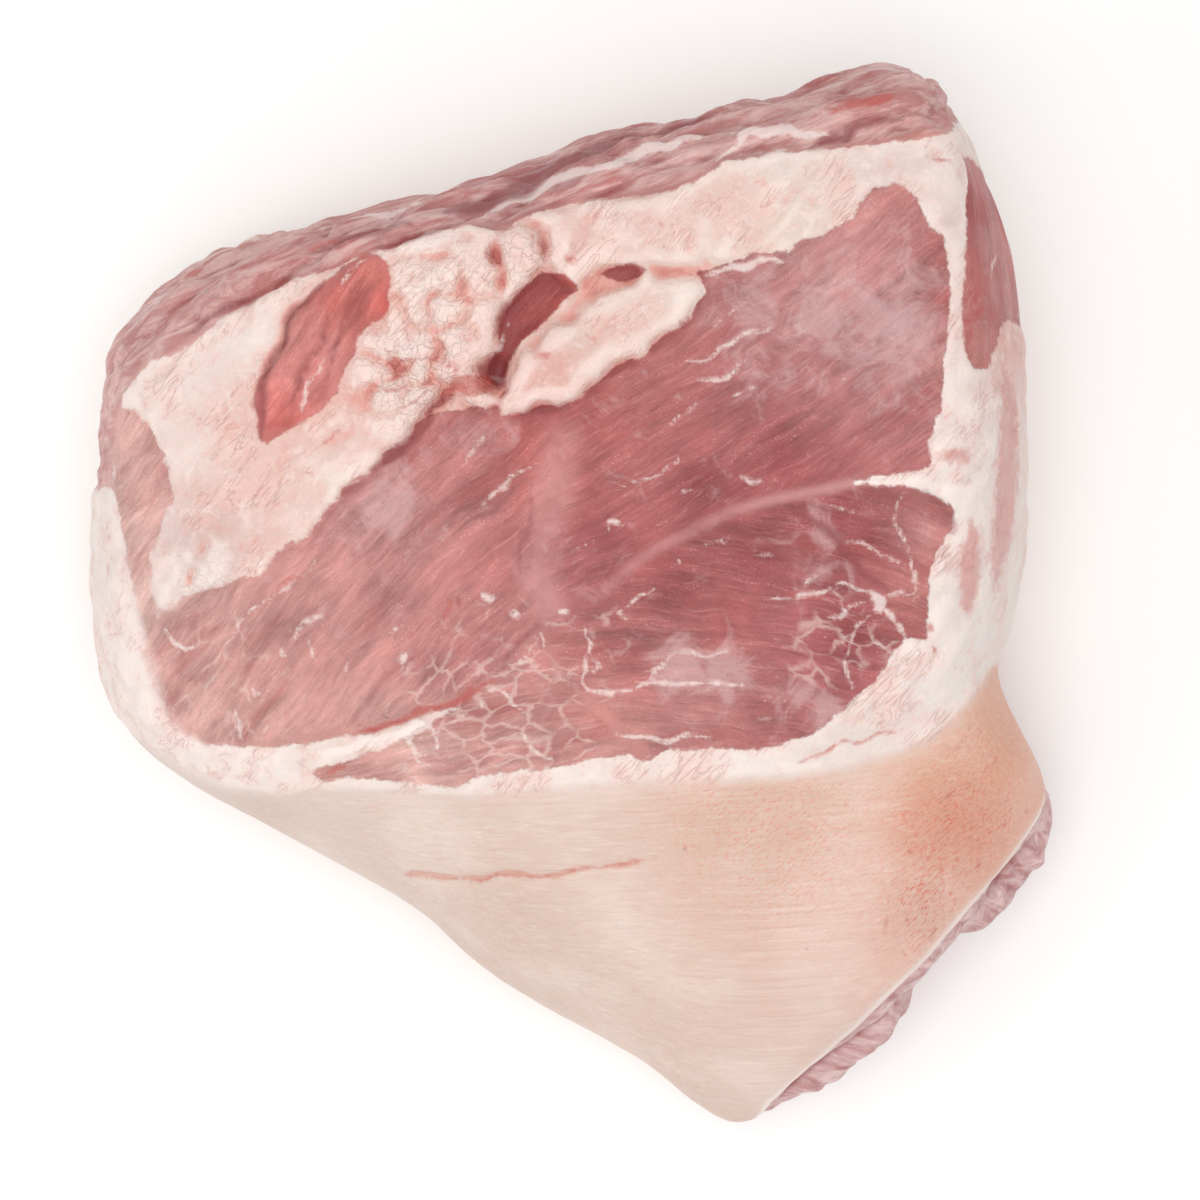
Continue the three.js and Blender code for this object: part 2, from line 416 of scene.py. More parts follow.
# %% Edges of the rind
RIND_EDGE = [
    (-1.3, 0.05), (-1.06, -0.1), (-0.98, -0.17), (-0.91, -0.23), (-0.85, -0.27), (-0.78, -0.3),
    (-0.7, -0.325), (-0.6, -0.335), (-0.5, -0.325), (-0.3, -0.33), (-0.2, -0.335), (-0.1, -0.325),
    (0, -0.315), (0.1, -0.31), (0.25, -0.305), (0.4, -0.3), (0.5, -0.29), (0.6, -0.265),
    (0.7, -0.235), (0.75, -0.2), (0.8, -0.15), (0.835, -0.11), (1.1, -0.04), (1.4, 0.05),
]
LIP = [
    (1.35, -0.2), (1.0, -0.35), (0.98, -0.38), (0.94, -0.43), (0.88, -0.5), (0.79, -0.58),
    (0.72, -0.65), (0.63, -0.73), (0.57, -0.79), (0.47, -0.88), (0.41, -0.94), (0.38, -1.02),
    (0.36, -1.25),
]

# %% [markdown]
# ## Marks
# Meat is full of small marks that no pattern gives: threads of tendon and film, clefts between
# muscles, creases in the fat, nicks in the skin. The dark marks are dark meat and also painted shade:
# they darken clefts, folds and the gaps under lifted flaps of fat. Each is a short line with a width and a
# rise, both in millimetres. A rise below zero is a groove.

# %% Pale marks
PALE_MARKS = [
    (1.0, 0.3, [(-0.54, 0.34), (-0.52, 0.4), (-0.49, 0.44)]),
    (0.9, 0.3, [(-0.46, 0.56), (-0.43, 0.6), (-0.4, 0.62)]),
    (1, 0.2, [(0.595, 0.03), (0.55, 0.038), (0.52, 0.041), (0.465, 0.023), (0.37, 0.016)]),
    (2.6, 0.4, [(0.588, 0.023), (0.601, 0.014), (0.601, 0.001)]),
    (1, 0.2, [(0.61, 0.025), (0.674, 0.021)]),
    (1.7, 0.3, [(0.601, 0.01), (0.62, -0.008), (0.636, -0.03), (0.651, -0.052)]),
    (1, 0.2, [(0.591, 0), (0.577, -0.017), (0.552, -0.032), (0.538, -0.052), (0.53, -0.1), (0.55, -0.15)]),
    (0.8, 0.1, [(0.572, -0.028), (0.597, -0.07), (0.622, -0.083)]),
    (0.9, 0.1, [(0.494, -0.017), (0.523, -0.014), (0.542, 0.003), (0.571, 0.012)]),
    (0.9, 0.1, [(0.489, -0.028), (0.514, -0.043), (0.543, -0.045)]),
    (0.9, 0.1, [(0.192, -0.079), (0.236, -0.079), (0.319, -0.082)]),
    (1.6, 0.3, [(0.192, -0.082), (0.176, -0.1), (0.158, -0.114), (0.151, -0.132)]),
    (1.2, 0.2, [(0.015, -0.128), (0.035, -0.146), (0.074, -0.152), (0.153, -0.132), (0.34, -0.132)]),
    (1.2, 0.2, [(0.03, -0.028), (0.037, -0.057), (0.03, -0.083), (0.03, -0.106), (0.015, -0.126)]),
    (0.9, 0.1, [(0.03, -0.083), (0.05, -0.088), (0.055, -0.101), (0.04, -0.115), (0.027, -0.11)]),
    (1, 0.2, [(0.086, -0.004), (0.104, 0.001), (0.133, 0.021), (0.162, 0.038)]),
    (1.6, 0.2, [(0.094, -0.008), (0.113, -0.021)]),
    (1.3, 0.6, [(0.459, 0.041), (0.474, 0.06)]),
    (1.6, 0.7, [(0.215, 0.197), (0.228, 0.203), (0.24, 0.2)]),
    (1.4, 0.5, [(0.206, 0.082), (0.211, 0.08)]),
    (1.8, 0.4, [(0.064, 0.131), (0.074, 0.147), (0.094, 0.149), (0.108, 0.142)]),
    (1.1, 0.2, [(0.147, 0.142), (0.184, 0.155)]),
    (0.8, 0.1, [(0.001, 0.103), (0.025, 0.109), (0.05, 0.122)]),
    (0.9, 0.1, [(0.215, 0.267), (0.196, 0.254), (0.172, 0.236), (0.133, 0.226), (0.074, 0.193)]),
    (0.9, 0.1, [(0.327, 0.227), (0.352, 0.22), (0.381, 0.225)]),
    (1, 0.2, [(0.26, 0.107), (0.298, 0.12)]),
    (0.8, 0.1, [(0.342, 0.096), (0.41, 0.095)]),
    (0.9, 0.1, [(0.487, 0.187), (0.516, 0.172), (0.541, 0.163)]),
    (0.9, 0.2, [(0.531, 0.119), (0.561, 0.111), (0.6, 0.093), (0.639, 0.08)]),
    (1.1, 0.2, [(0.646, 0.207), (0.632, 0.18), (0.63, 0.154), (0.648, 0.119), (0.669, 0.032)]),
    (0.8, 0.1, [(-0.064, -0.044), (-0.049, -0.079), (-0.042, -0.101)]),
    (0.8, 0.1, [(-0.083, -0.07), (-0.098, -0.093), (-0.074, -0.101)]),
    (1.2, 0.2, [(-0.178, -0.182), (-0.173, -0.151), (-0.153, -0.142), (-0.128, -0.151), (-0.084, -0.193)]),
    (1.4, 0.2, [(-0.109, -0.213), (-0.094, -0.24), (-0.069, -0.263), (-0.04, -0.269)]),
    (1.5, 0.2, [(0.084, -0.224), (0.133, -0.23), (0.173, -0.235), (0.222, -0.23), (0.276, -0.232)]),
    (0.9, 0.1, [(0.349, -0.205), (0.428, -0.198)]),
    (0.9, 0.1, [(-0.181, 0.174), (-0.162, 0.198), (-0.127, 0.227), (-0.063, 0.253)]),
    (1.4, 0.5, [(-0.175, 0.019), (-0.16, 0.018)]),
    (1.4, 0.5, [(-0.123, -0.008), (-0.106, -0.012)]),
    (1.8, 0.5, [(-0.019, -0.006), (-0.009, -0.004)]),
    (1.1, 0.3, [(-0.509, 0.086), (-0.525, 0.071), (-0.545, 0.057)]),
    (2.2, 0.7, [(-0.549, 0.052), (-0.566, 0.039), (-0.586, 0.029)]),
    (0.8, 0.1, [(-0.59, 0.027), (-0.631, -0.004), (-0.668, -0.036), (-0.705, -0.072)]),
    (1.4, 0.2, [(-0.494, -0.011), (-0.538, -0.022), (-0.55, -0.036), (-0.557, -0.054)]),
    (2, 0.7, [(-0.53, -0.054), (-0.523, -0.083), (-0.511, -0.093)]),
    (1.5, 0.4, [(-0.577, -0.076), (-0.579, -0.083)]),
    (2, 0.1, [(-0.446, -0.093), (-0.456, -0.115)]),
    (1.5, 0.2, [(-0.33, -0.079), (-0.34, -0.089)]),
    (1.4, 0.1, [(-0.365, -0.047), (-0.337, -0.036)]),
    (1.6, 0.1, [(-0.683, -0.181), (-0.679, -0.203), (-0.669, -0.224), (-0.663, -0.239)]),
    (0.8, 0.1, [(-0.649, -0.144), (-0.629, -0.155), (-0.617, -0.148)]),
    (1.8, 0.3, [(-0.811, -0.04), (-0.807, -0.065), (-0.779, -0.076), (-0.75, -0.058)]),
    (3, 0.3, [(-0.227, -0.175), (-0.263, -0.192), (-0.303, -0.212), (-0.339, -0.229), (-0.403, -0.243),
              (-0.464, -0.252), (-0.525, -0.262)]),
    (1.1, 0, [(-0.291, -0.211), (-0.271, -0.222), (-0.267, -0.244), (-0.291, -0.258), (-0.315, -0.276)]),
    (1.1, 0, [(-0.331, -0.219), (-0.323, -0.247), (-0.307, -0.276), (-0.284, -0.283)]),
    (1, 0, [(-0.371, -0.259), (-0.364, -0.284)]),
    (1, 0, [(-0.203, -0.182), (-0.211, -0.2), (-0.243, -0.211)]),
    (1.2, 0.2, [(0.218, 0.439), (0.253, 0.435), (0.288, 0.456), (0.342, 0.48), (0.388, 0.49)]),
    (1.7, 0.2, [(0.249, 0.4), (0.288, 0.403), (0.342, 0.434)]),
    (0.8, 0.1, [(0.272, 0.494), (0.319, 0.522), (0.342, 0.536)]),
    (0.8, 0.1, [(0.303, 0.365), (0.365, 0.389)]),
    (0.9, 0.1, [(0.172, 0.306), (0.21, 0.341), (0.249, 0.362)]),
    (2, 0.4, [(0.264, 0.582), (0.311, 0.595), (0.365, 0.608), (0.419, 0.61)]),
    (2.4, 0.8, [(-0.169, 0.412), (-0.149, 0.403), (-0.13, 0.408)]),
    (1.6, 0.5, [(-0.142, 0.453), (-0.134, 0.481), (-0.126, 0.502)]),
    (1, 0.1, [(-0.206, 0.258), (-0.171, 0.306)]),
    (1.4, 0.3, [(0.845, 0.63), (0.83, 0.59)]),
    (3, 0.6, [(-0.175, 0.695), (-0.133, 0.718), (-0.074, 0.745), (0, 0.77), (0.086, 0.79), (0.17, 0.817),
              (0.254, 0.831)]),
    (2.4, 0.4, [(0.286, 0.779), (0.337, 0.835), (0.42, 0.84), (0.502, 0.826)]),
    (2, 0.3, [(-0.531, 0.708), (-0.422, 0.723), (-0.293, 0.731)]),
    (1.6, 0.3, [(-0.718, 0.685), (-0.644, 0.695)]),
]

# %% Dark marks: dark meat, and painted shade in clefts, folds and under flaps of fat
SHADE_AND_DARK_MARKS = [
    (2.0, -1.2, [(-0.61, 0.305), (-0.622, 0.36), (-0.6, 0.43), (-0.572, 0.48), (-0.55, 0.535),
                 (-0.49, 0.575)]),
    (1.4, -0.6, [(-0.56, 0.36), (-0.53, 0.42), (-0.5, 0.46), (-0.48, 0.52)]),
    (1.2, -0.5, [(-0.5, 0.38), (-0.47, 0.44), (-0.455, 0.5), (-0.42, 0.56)]),
    (2, -0.8, [(0.41, 0.172), (0.449, 0.159), (0.488, 0.137), (0.522, 0.115), (0.571, 0.067),
               (0.615, 0.032)]),
    (1.1, -0.8, [(-0.061, -0.032), (-0.088, -0.048), (-0.113, -0.068), (-0.136, -0.097), (-0.153, -0.117)]),
    (0.7, -0.3, [(-0.103, 0.063), (-0.108, 0.103), (-0.088, 0.151), (-0.075, 0.222)]),
    (1, -0.4, [(0.654, 0.207), (0.685, 0.197), (0.72, 0.181), (0.74, 0.165), (0.738, 0.133)]),
    (1, -0.3, [(0.725, 0.115), (0.725, 0.093)]),
    (1.2, -0.9, [(-0.226, 0.014), (-0.228, -0.007)]),
    (1.3, -1, [(-0.4, 0.238), (-0.36, 0.268), (-0.325, 0.293), (-0.29, 0.325)]),
    (2.8, -2.2, [(-0.29, 0.325), (-0.27, 0.355), (-0.235, 0.378)]),
    (4.6, -3.2, [(-0.165, 0.421), (-0.152, 0.405), (-0.149, 0.43)]),
    (1.8, -1.6, [(-0.16, 0.631), (-0.149, 0.6)]),
    (1.8, -1.6, [(-0.061, 0.662), (-0.055, 0.637), (-0.063, 0.605)]),
    (2, -2, [(-0.09, 0.568), (-0.114, 0.536), (-0.137, 0.512), (-0.145, 0.488)]),
    (1.7, -1.2, [(-0.1, 0.341), (-0.051, 0.348), (-0.008, 0.358)]),
    (1.8, -0.8, [(-0.102, 0.48), (-0.086, 0.494), (-0.067, 0.508)]),
    (5, -2.6, [(-0.254, 0.712), (-0.185, 0.721), (-0.117, 0.744), (-0.068, 0.787), (0, 0.809), (0.069, 0.841),
               (0.121, 0.866)]),
    (3.6, -1.8, [(0.121, 0.84), (0.181, 0.863), (0.242, 0.88), (0.284, 0.883)]),
    (2.2, -1, [(-0.76, 0.5), (-0.728, 0.521), (-0.658, 0.551), (-0.597, 0.573)]),
    (1.8, -0.8, [(-0.389, 0.645), (-0.32, 0.655), (-0.235, 0.68)]),
    (2.4, -1.4, [(-0.53, 0.636), (-0.461, 0.658), (-0.391, 0.672), (-0.304, 0.684)]),
    (2.6, -1.2, [(0.452, 0.805), (0.502, 0.818), (0.552, 0.845), (0.64, 0.86)]),
]

# %% Red marks
RED_MARKS = [
    (2, -1.2, [(-0.15, -0.12), (-0.183, -0.143), (-0.223, -0.161), (-0.283, -0.179), (-0.339, -0.197),
               (-0.387, -0.217), (-0.443, -0.228)]),
    (2.4, 0, [(-0.241, 0.014), (-0.254, -0.021)]),
    (1.6, -0.3, [(-0.521, 0.064), (-0.562, 0.046), (-0.602, 0.025)]),
    (2.5, 0, [(-0.505, -0.3), (-0.464, -0.288), (-0.444, -0.288)]),
    (1.1, -1, [(-0.369, 0.458), (-0.339, 0.44), (-0.305, 0.44)]),
    (1.1, -1, [(-0.404, 0.401), (-0.369, 0.387), (-0.325, 0.396)]),
    (1.1, -1, [(-0.339, 0.356), (-0.3, 0.373), (-0.275, 0.387)]),
    (1.1, -1, [(-0.255, 0.422), (-0.225, 0.435)]),
    (1.1, -1, [(-0.27, 0.484), (-0.25, 0.457), (-0.23, 0.422)]),
    (0.9, -0.5, [(-0.51, 0.277), (-0.459, 0.317), (-0.439, 0.335)]),
    (0.9, -0.4, [(-0.57, 0.26), (-0.53, 0.273)]),
    (1.2, -1, [(-0.195, 0.592), (-0.166, 0.574), (-0.161, 0.526)]),
    (5, -0.8, [(-0.211, 0.395), (-0.18, 0.399)]),
    (1.2, -0.6, [(-0.62, 0.327), (-0.56, 0.327), (-0.524, 0.353)]),
    (1.1, -0.8, [(0.167, 0.676), (0.175, 0.666)]),
    (1.4, -0.5, [(-0.008, 0.609), (0.008, 0.605)]),
    (1.1, -0.8, [(-0.169, 0.635), (-0.157, 0.596), (-0.161, 0.558)]),
    (1.1, -0.8, [(-0.26, 0.376), (-0.236, 0.383), (-0.224, 0.429)]),
    (0.9, -0.8, [(0.023, 0.483), (0.047, 0.479), (0.055, 0.461)]),
    (2, -0.2, [(-0.071, 0.438), (-0.039, 0.452)]),
    (1.5, -0.8, [(-0.074, 0.662), (-0.082, 0.637)]),
    (0.9, 0, [(0.212, -0.223), (0.216, -0.223)]),
    (0.9, 0, [(0.226, -0.222), (0.229, -0.222)]),
    (2, 0, [(-0.54, 0.641), (-0.497, 0.656), (-0.461, 0.663)]),
    (2.6, 0, [(-0.793, 0.621), (-0.762, 0.626)]),
    (2, 0, [(0.339, 0.854), (0.422, 0.867)]),
    (3.6, -0.4, [(0.504, 0.872), (0.588, 0.895), (0.63, 0.898)]),
    (1.4, -0.4, [(0.678, 0.781), (0.717, 0.786), (0.748, 0.781)]),
    (0.8, -1.7, [(-0.36, -0.503), (-0.309, -0.497), (-0.218, -0.497), (-0.13, -0.492), (-0.057, -0.484),
               (0.014, -0.476), (0.079, -0.465), (0.129, -0.454), (0.178, -0.44)]),
    (0.9, -0.9, [(0.44, -0.27), (0.5, -0.253), (0.557, -0.237), (0.6, -0.227), (0.64, -0.218)]),
    (1.3, -0.5, [(0.631, -0.556), (0.617, -0.577)]),
    (1.2, -0.5, [(0.641, -0.595), (0.636, -0.612)]),
    (1, -0.4, [(0.714, -0.541), (0.707, -0.551)]),
    (1.8, -0.6, [(0.736, -0.58), (0.722, -0.607)]),
    (1.1, -0.3, [(0.675, -0.568), (0.677, -0.571)]),
    (0.9, 0, [(0.8, -0.416), (0.802, -0.419)]),
    (1, 0, [(0.671, -0.436), (0.674, -0.438)]),
    (0.9, 0, [(0.636, -0.498), (0.639, -0.5)]),
    (1.2, 0, [(0.823, -0.472), (0.826, -0.475)]),
    (1.2, 0, [(0.93, -0.378), (0.932, -0.381)]),
    (1, 0, [(0.773, -0.543), (0.775, -0.546)]),
    (1, -0.3, [(0.673, -0.627), (0.677, -0.631)]),
    (0.9, -0.4, [(0.786, -0.31), (0.756, -0.329), (0.727, -0.348)]),
    (0.9, -0.4, [(0.79, -0.215), (0.77, -0.245), (0.74, -0.262)]),
    (0.8, -0.3, [(0.735, -0.24), (0.77, -0.25)]),
    (0.9, -0.3, [(0.86, -0.26), (0.84, -0.28), (0.82, -0.3)]),
    (0.9, 0, [(0.319, -0.371), (0.32, -0.373)]),
    (0.9, 0, [(0.224, -0.427), (0.226, -0.429)]),
    (1.6, -0.3, [(0.7, -0.028), (0.702, -0.035)]),
    (1.6, -0.3, [(0.715, -0.07), (0.716, -0.078)]),
    (1.4, -0.4, [(0.6, -0.188), (0.62, -0.183)]),
]

# %% Seams
PALE_SEAM = [(-0.02, 0.29), (-0.034, 0.209), (-0.063, 0.12), (-0.068, 0.067), (-0.054, 0.01)]
RIGHT_SEAM = [
    (0.064, 0.032), (0.123, 0.08), (0.172, 0.109), (0.211, 0.124), (0.259, 0.148), (0.308, 0.17),
    (0.39, 0.19), (0.473, 0.205), (0.55, 0.22), (0.67, 0.225),
]

# %% Measures of the marks


def wobbled(places):
    """The places pushed about by a millimetre, so that no line of marks runs straight."""
    flat = np.column_stack([places, np.zeros(len(places))])
    return places + np.column_stack([noise(flat, 4.5, 91) + 0.5 * noise(flat, 2, 93), noise(flat, 4.5, 92)])


def mark_shapes(places, marks):
    """For each mark: the places near it, their distance from its line, its half width there and its rise."""
    for width_mm, rise_mm, line in marks:
        corners = to_mm(line)
        reach = 2 * width_mm + 3
        close = ((places > corners.min(0) - reach) & (places < corners.max(0) + reach)).all(1)
        away, run, length = follow_line(wobbled(places[close]), line)
        if length > 1.5 * width_mm:
            taper = np.sqrt(np.clip(np.minimum(run, length - run) / (3 * width_mm + 2), 0, 1))
        else:
            taper = np.ones(len(away))
        yield close, away, width_mm / 2 * (0.25 + 0.75 * taper), rise_mm * taper


def mark_field(places, marks):
    """How far inside the nearest mark each place is, down to -3 mm outside."""
    field = np.full(len(places), -3.0)
    for close, away, half_width, _ in mark_shapes(places, marks):
        field[close] = np.maximum(field[close], half_width - away)
    return field


def mark_relief(places, marks):
    """The marks' ridges and grooves, in millimetres."""
    rise = np.zeros(len(places))
    for close, away, half_width, rise_mm in mark_shapes(places, marks):
        rise[close] += rise_mm * np.exp(-((away / (0.9 * half_width + 0.35)) ** 2))
    return rise


print(len(PALE_MARKS), "pale,", len(SHADE_AND_DARK_MARKS), "dark and", len(RED_MARKS), "red marks")

# %% [markdown]
# ## What each point is
# Every point gets its depths: how far it is inside fat, inside rind, inside the sawn end and inside the
# torn band along the hip. A point that is in none of the first three is lean. The same depths shape the
# relief now and colour the surface later.

# %% Depths
RIND_UNDER_MM = 20  # how high the rind comes up the flanks
FAT_UNDER_MM = 13  # thickness of the fat that shows above it


def surface_depths(points):
    """Each point's place on the map, and its depths in millimetres inside each kind of surface."""
    place = to_map(points)
    height = points[:, 2]
    ragged = 1.3 * rough_noise(points, 7, 11)
    frayed = 0.9 * noise(points, 2.8, 15)
    rind = depth_inside(place, RIND_EDGE + [(1.6, -2), (-1.6, -2)]) + 0.3 * ragged
    flank = RIND_UNDER_MM + 3 * noise(points, 40, 5) - height
    rind = np.maximum(rind, flank)
    cut = depth_inside(place, LIP + [(1.2, -1.9), (2.2, -0.9)]) + 0.12 * ragged
    cut = np.minimum(cut, height - 5)
    rind = np.minimum(rind, -cut)
    lean = depth_inside(place, LEAN_FACE) + 0.5 * ragged
    above_fat = height - RIND_UNDER_MM - FAT_UNDER_MM
    band = np.minimum(depth_inside(place, HIP_BAND) + 0.6 * ragged, above_fat + 2 * ragged)
    strip = np.minimum(depth_inside(place, SIDE_STRIP) + 0.4 * ragged, above_fat)
    pads = [
        depth_inside(place, shape) + raggedness * ragged + frayed
        for shape, raggedness in ((FAT_CAP, 0.6), (FAT_LUMP, 0.3), (MIDDLE_FAT, 0.6), (LOWER_FAT, 0.4))
    ]
    fat = np.maximum(-np.maximum.reduce([lean, band, strip]), np.maximum.reduce(pads))
    red_lean = (RED_STRIP, RED_NOTCH, SMALL_RED)
    red = np.maximum.reduce([depth_inside(place, shape) + 0.4 * ragged for shape in red_lean])
    return {
        "place": place, "pads": pads, "fat": np.minimum(fat, -red),
        "rind": rind, "cut": cut, "band": band,
    }


# %% [markdown]
# ## Relief
# A pad of fat stands proud with a rounded edge, thick where it was lifted off the meat and flush where
# it still holds to it. Its torn part is crumbly. The hip side is stepped in bundles along the leg, and
# the shank's muscles swell out past the edge of the skin, because the saw let them loose.

# %% Thickness of the fat
FAT_RISE = [  # how far the pads stand proud, in millimetres
    ((-0.88, 0.38), 1.6), ((-0.85, 0.15), 0.3), ((-0.8, 0.02), 0.8), ((-0.7, 0.5), 0.7),
    ((-0.65, 0.08), 0.9), ((-0.6, 0.3), 2.4), ((-0.52, 0.16), 1.5), ((-0.45, 0.6), 1.2),
    ((-0.4, 0.26), 3.2), ((-0.3, 0.35), 5.2), ((-0.33, 0.48), 4.6), ((-0.2, 0.4), 4.4),
    ((-0.2, 0.6), 4.2), ((-0.25, 0.67), 1.6), ((-0.1, 0.62), 4.2), ((-0.03, 0.62), 4.2),
    ((0, 0.7), 1.6), ((0.1, 0.65), 3.4), ((0.2, 0.61), 2.6), ((0.35, 0.64), 1.4), ((0.3, 0.76), 0.8),
    ((0.5, 0.7), 0.7), ((0.7, 0.7), 0.5), ((0.7, 0.8), 0.4), ((-0.12, 0.36), 3.8),
    ((0.02, 0.4), 4.2), ((0.1, 0.48), 4.4), ((0.22, 0.54), 3.4), ((0.26, 0.58), 1.6),
]
TORN_PATCHES = [  # strength, middle on the map and radius in millimetres
    (1, (-0.3, 0.43), 26), (0.6, (-0.25, 0.56), 26), (0.8, (-0.1, 0.62), 14), (0.45, (-0.72, 0.04), 22),
]


def rounded_rise(depth, edge_mm, rise_mm):
    """A pad's profile: a quarter circle up over edge_mm, then level."""
    share = np.clip(depth / edge_mm, 0, 1)
    return rise_mm * np.sqrt(1 - (1 - share) ** 2)


def torn_fat(place):
    """1 where the fat was torn into crumbs, 0 where it is smooth."""
    return patches(place, TORN_PATCHES)

# %% Relief of the fat


def crumb_pattern(points):
    """Large and small crumbs of torn fat: 1 on top of each, 0 in the creases between them."""
    flat = points * np.array([1, 1, 0.2])
    warped = flat + 2.2 * np.stack([noise(flat, 6, 60 + axis) for axis in range(3)], 1)
    return (np.clip(2 * np.abs(noise(warped, size, 31)), 0, 1) ** 0.6 for size in (7.0, 3.2))


def fat_relief(points, told):
    """Crumbs on torn fat, and soft swellings and folds on the rest."""
    in_fat = smooth_step(told["fat"], 0, 2.5) * smooth_step(-told["rind"], -1, 3)
    torn = torn_fat(told["place"])
    large, small = crumb_pattern(points)
    crumbs = 4.0 * large + 2.0 * small - 3.6
    warped = points + 2.4 * np.stack([noise(points, 9, 64 + axis) for axis in range(3)], 1)
    swells = pebbles(turned(warped, 50, 1.9), 10, 38, steep=0.9) - 0.6
    folds = 1 - np.abs(noise(turned(warped, 50, 5), 4.2, 33)) * 3
    lines = smooth_step(noise(points, 22, 46), -0.2, 0.5)
    return in_fat * (torn * crumbs + (1 - torn) * (0.9 * swells + 0.3 * lines * folds))

# %% Relief of torn and sawn meat


def hip_relief(points, told):
    """Bundles along the torn hip side, stretched the way the leg runs."""
    warped = points + 3 * np.stack([noise(points, 16, 70 + axis) for axis in range(3)], 1)
    bundles = 4.2 * pebbles(turned(warped, 22, 4), 11, 41) - 2.9
    strands = 1.7 * pebbles(turned(warped, 22, 4.5), 4.6, 45) - 1.1
    ripple = 1.6 * noise(points, 14, 49)
    calm_end = 0.45 + 0.55 * smooth_step(points[:, 0], -112, -80)
    return smooth_step(told["band"], -0.5, 4) * calm_end * (bundles + strands + ripple)


def shank_relief(points, told):
    """Muscles that swell out of the sawn end, behind a thin lip of skin."""
    cut = told["cut"]
    gap = -1.6 * np.exp(-(((cut - 0.8) / 1.1) ** 2))
    swell = smooth_step(cut, 0.8, 7) * (1 - smooth_step(cut, 34, 55))
    lobes = np.maximum(near(told["place"], (1.02, -0.58), 32), near(told["place"], (0.66, -0.94), 38))
    bundles = 2.2 * pebbles(points * np.array([0.8, 0.8, 1.3]), 8, 51) - 1.4
    return gap + swell * (1.0 + 6.5 * smooth_step(lobes, 0.05, 0.6) + bundles)

# %% All the relief


def groove_of(distance, width_mm, depth_mm):
    """What a shallow channel along a line adds to the relief."""
    return -depth_mm * np.exp(-((distance / width_mm) ** 2))


def relief(points):
    """How far each point moves out along its normal, in millimetres."""
    told = surface_depths(points)
    place = told["place"]
    pad = np.maximum.reduce(told["pads"])
    proud = blend_spots(place, FAT_RISE)[:, 0]
    rise = rounded_rise(pad, 1.6 + 0.4 * proud, proud)
    rise += fat_relief(points, told)
    strip_depth = depth_inside(place, RED_STRIP)
    strip_folds = pebbles(turned(points, 60, 4), 6, 53, steep=0.9)
    rise += smooth_step(strip_depth, 0, 3) * (0.8 + 1.4 * strip_folds)
    rise -= rounded_rise(depth_inside(place, RED_NOTCH), 4.0, 2.2)
    rise += rounded_rise(told["fat"], 3.0, 0.7) * (pad < 0) * (told["rind"] < 0)
    rise -= groove_of(distance_to_line(place, RIGHT_SEAM), 3.0, 0.9)
    for marks in (PALE_MARKS, SHADE_AND_DARK_MARKS, RED_MARKS):
        rise += mark_relief(place, marks)
    rise += hip_relief(points, told)
    rise += shank_relief(points, told)
    in_lean = smooth_step(-np.maximum(told["fat"], told["rind"]), 0, 2)
    along, across, edge = fibre_frame(points, place)
    in_lean = in_lean * smooth_step(edge, 0.6, 3)
    stretched = np.stack([along / 9, across, 0.3 * points[:, 2]], 1)
    rise += in_lean * (0.28 * noise(stretched, 3.4, 23) + 0.16 * noise(stretched, 1.8, 24))
    rise += in_lean * 0.35 * noise(points, 11, 26)
    rise += 0.6 * noise(points, 34, 21)
    wrinkles = noise(turned(points, -8, 9), 3.2, 27) + 0.6 * noise(turned(points, -8, 9), 1.8, 28)
    rise += smooth_step(told["rind"], 0, 4) * 0.12 * wrinkles
    return rise * smooth_step(points[:, 2], 0.5, 6)


# %% [markdown]
# ## Fibres
# Meat is bundles of long fibres. Each muscle is given the way its fibres run and how much they bend,
# and every point then knows its distance along the fibres and across them.

# %% Muscles
BESIDE_OTHERS = 4  # the first four muscles share the cut face, and the others lie on top of them
ON_TOP_MM = 40  # how much deeper a muscle on top counts
APART_MM = 300  # puts each muscle's pattern in a stretch of its own
# Each muscle: its outline, the direction of its fibres in degrees from +X, and their bend per metre.
MUSCLES = {
    "left": ([(-1, 0.42), (-0.35, 0.42), (-0.14, 0.4), (-0.03, 0.32), (-0.03, 0.22), (-0.06, 0.12),
              (-0.07, 0.06), (-0.05, 0), (-0.07, -0.04), (-0.18, -0.14), (-0.34, -0.2),
              (-0.48, -0.23), (-1, -0.3)], 41, 1.2),
    "right": ([(-0.14, 0.45), (-0.03, 0.32), (-0.03, 0.22), (-0.06, 0.12), (-0.07, 0.06),
               (-0.02, 0), (0.06, 0.03), (0.12, 0.08), (0.21, 0.124), (0.31, 0.17), (0.39, 0.19),
               (0.55, 0.22), (0.8, 0.24), (0.8, 0.8), (0.4, 0.75), (-0.14, 0.7)], 26, -1.0),
    "lower": ([(-0.05, 0), (0.06, 0.03), (0.12, 0.08), (0.21, 0.124), (0.31, 0.17), (0.39, 0.19),
               (0.55, 0.22), (0.8, 0.24), (0.8, -0.25), (0.4, -0.35), (0.18, -0.3), (0.08, -0.2),
               (-0.02, -0.12), (-0.07, -0.04)], 3, 2.4),
    "corner": ([(-0.48, -0.23), (-0.34, -0.2), (-0.18, -0.14), (-0.07, -0.04), (-0.02, -0.12),
                (0.08, -0.2), (0.18, -0.32), (-0.6, -0.36)], 14, 0),
    "strip": (RED_STRIP, 56, 0),
    "notch": (RED_NOTCH, 50, 0),
    "hip": (HIP_BAND, 22, 0),
    "side": (SIDE_STRIP, 100, 0),
}

# %% Fibres


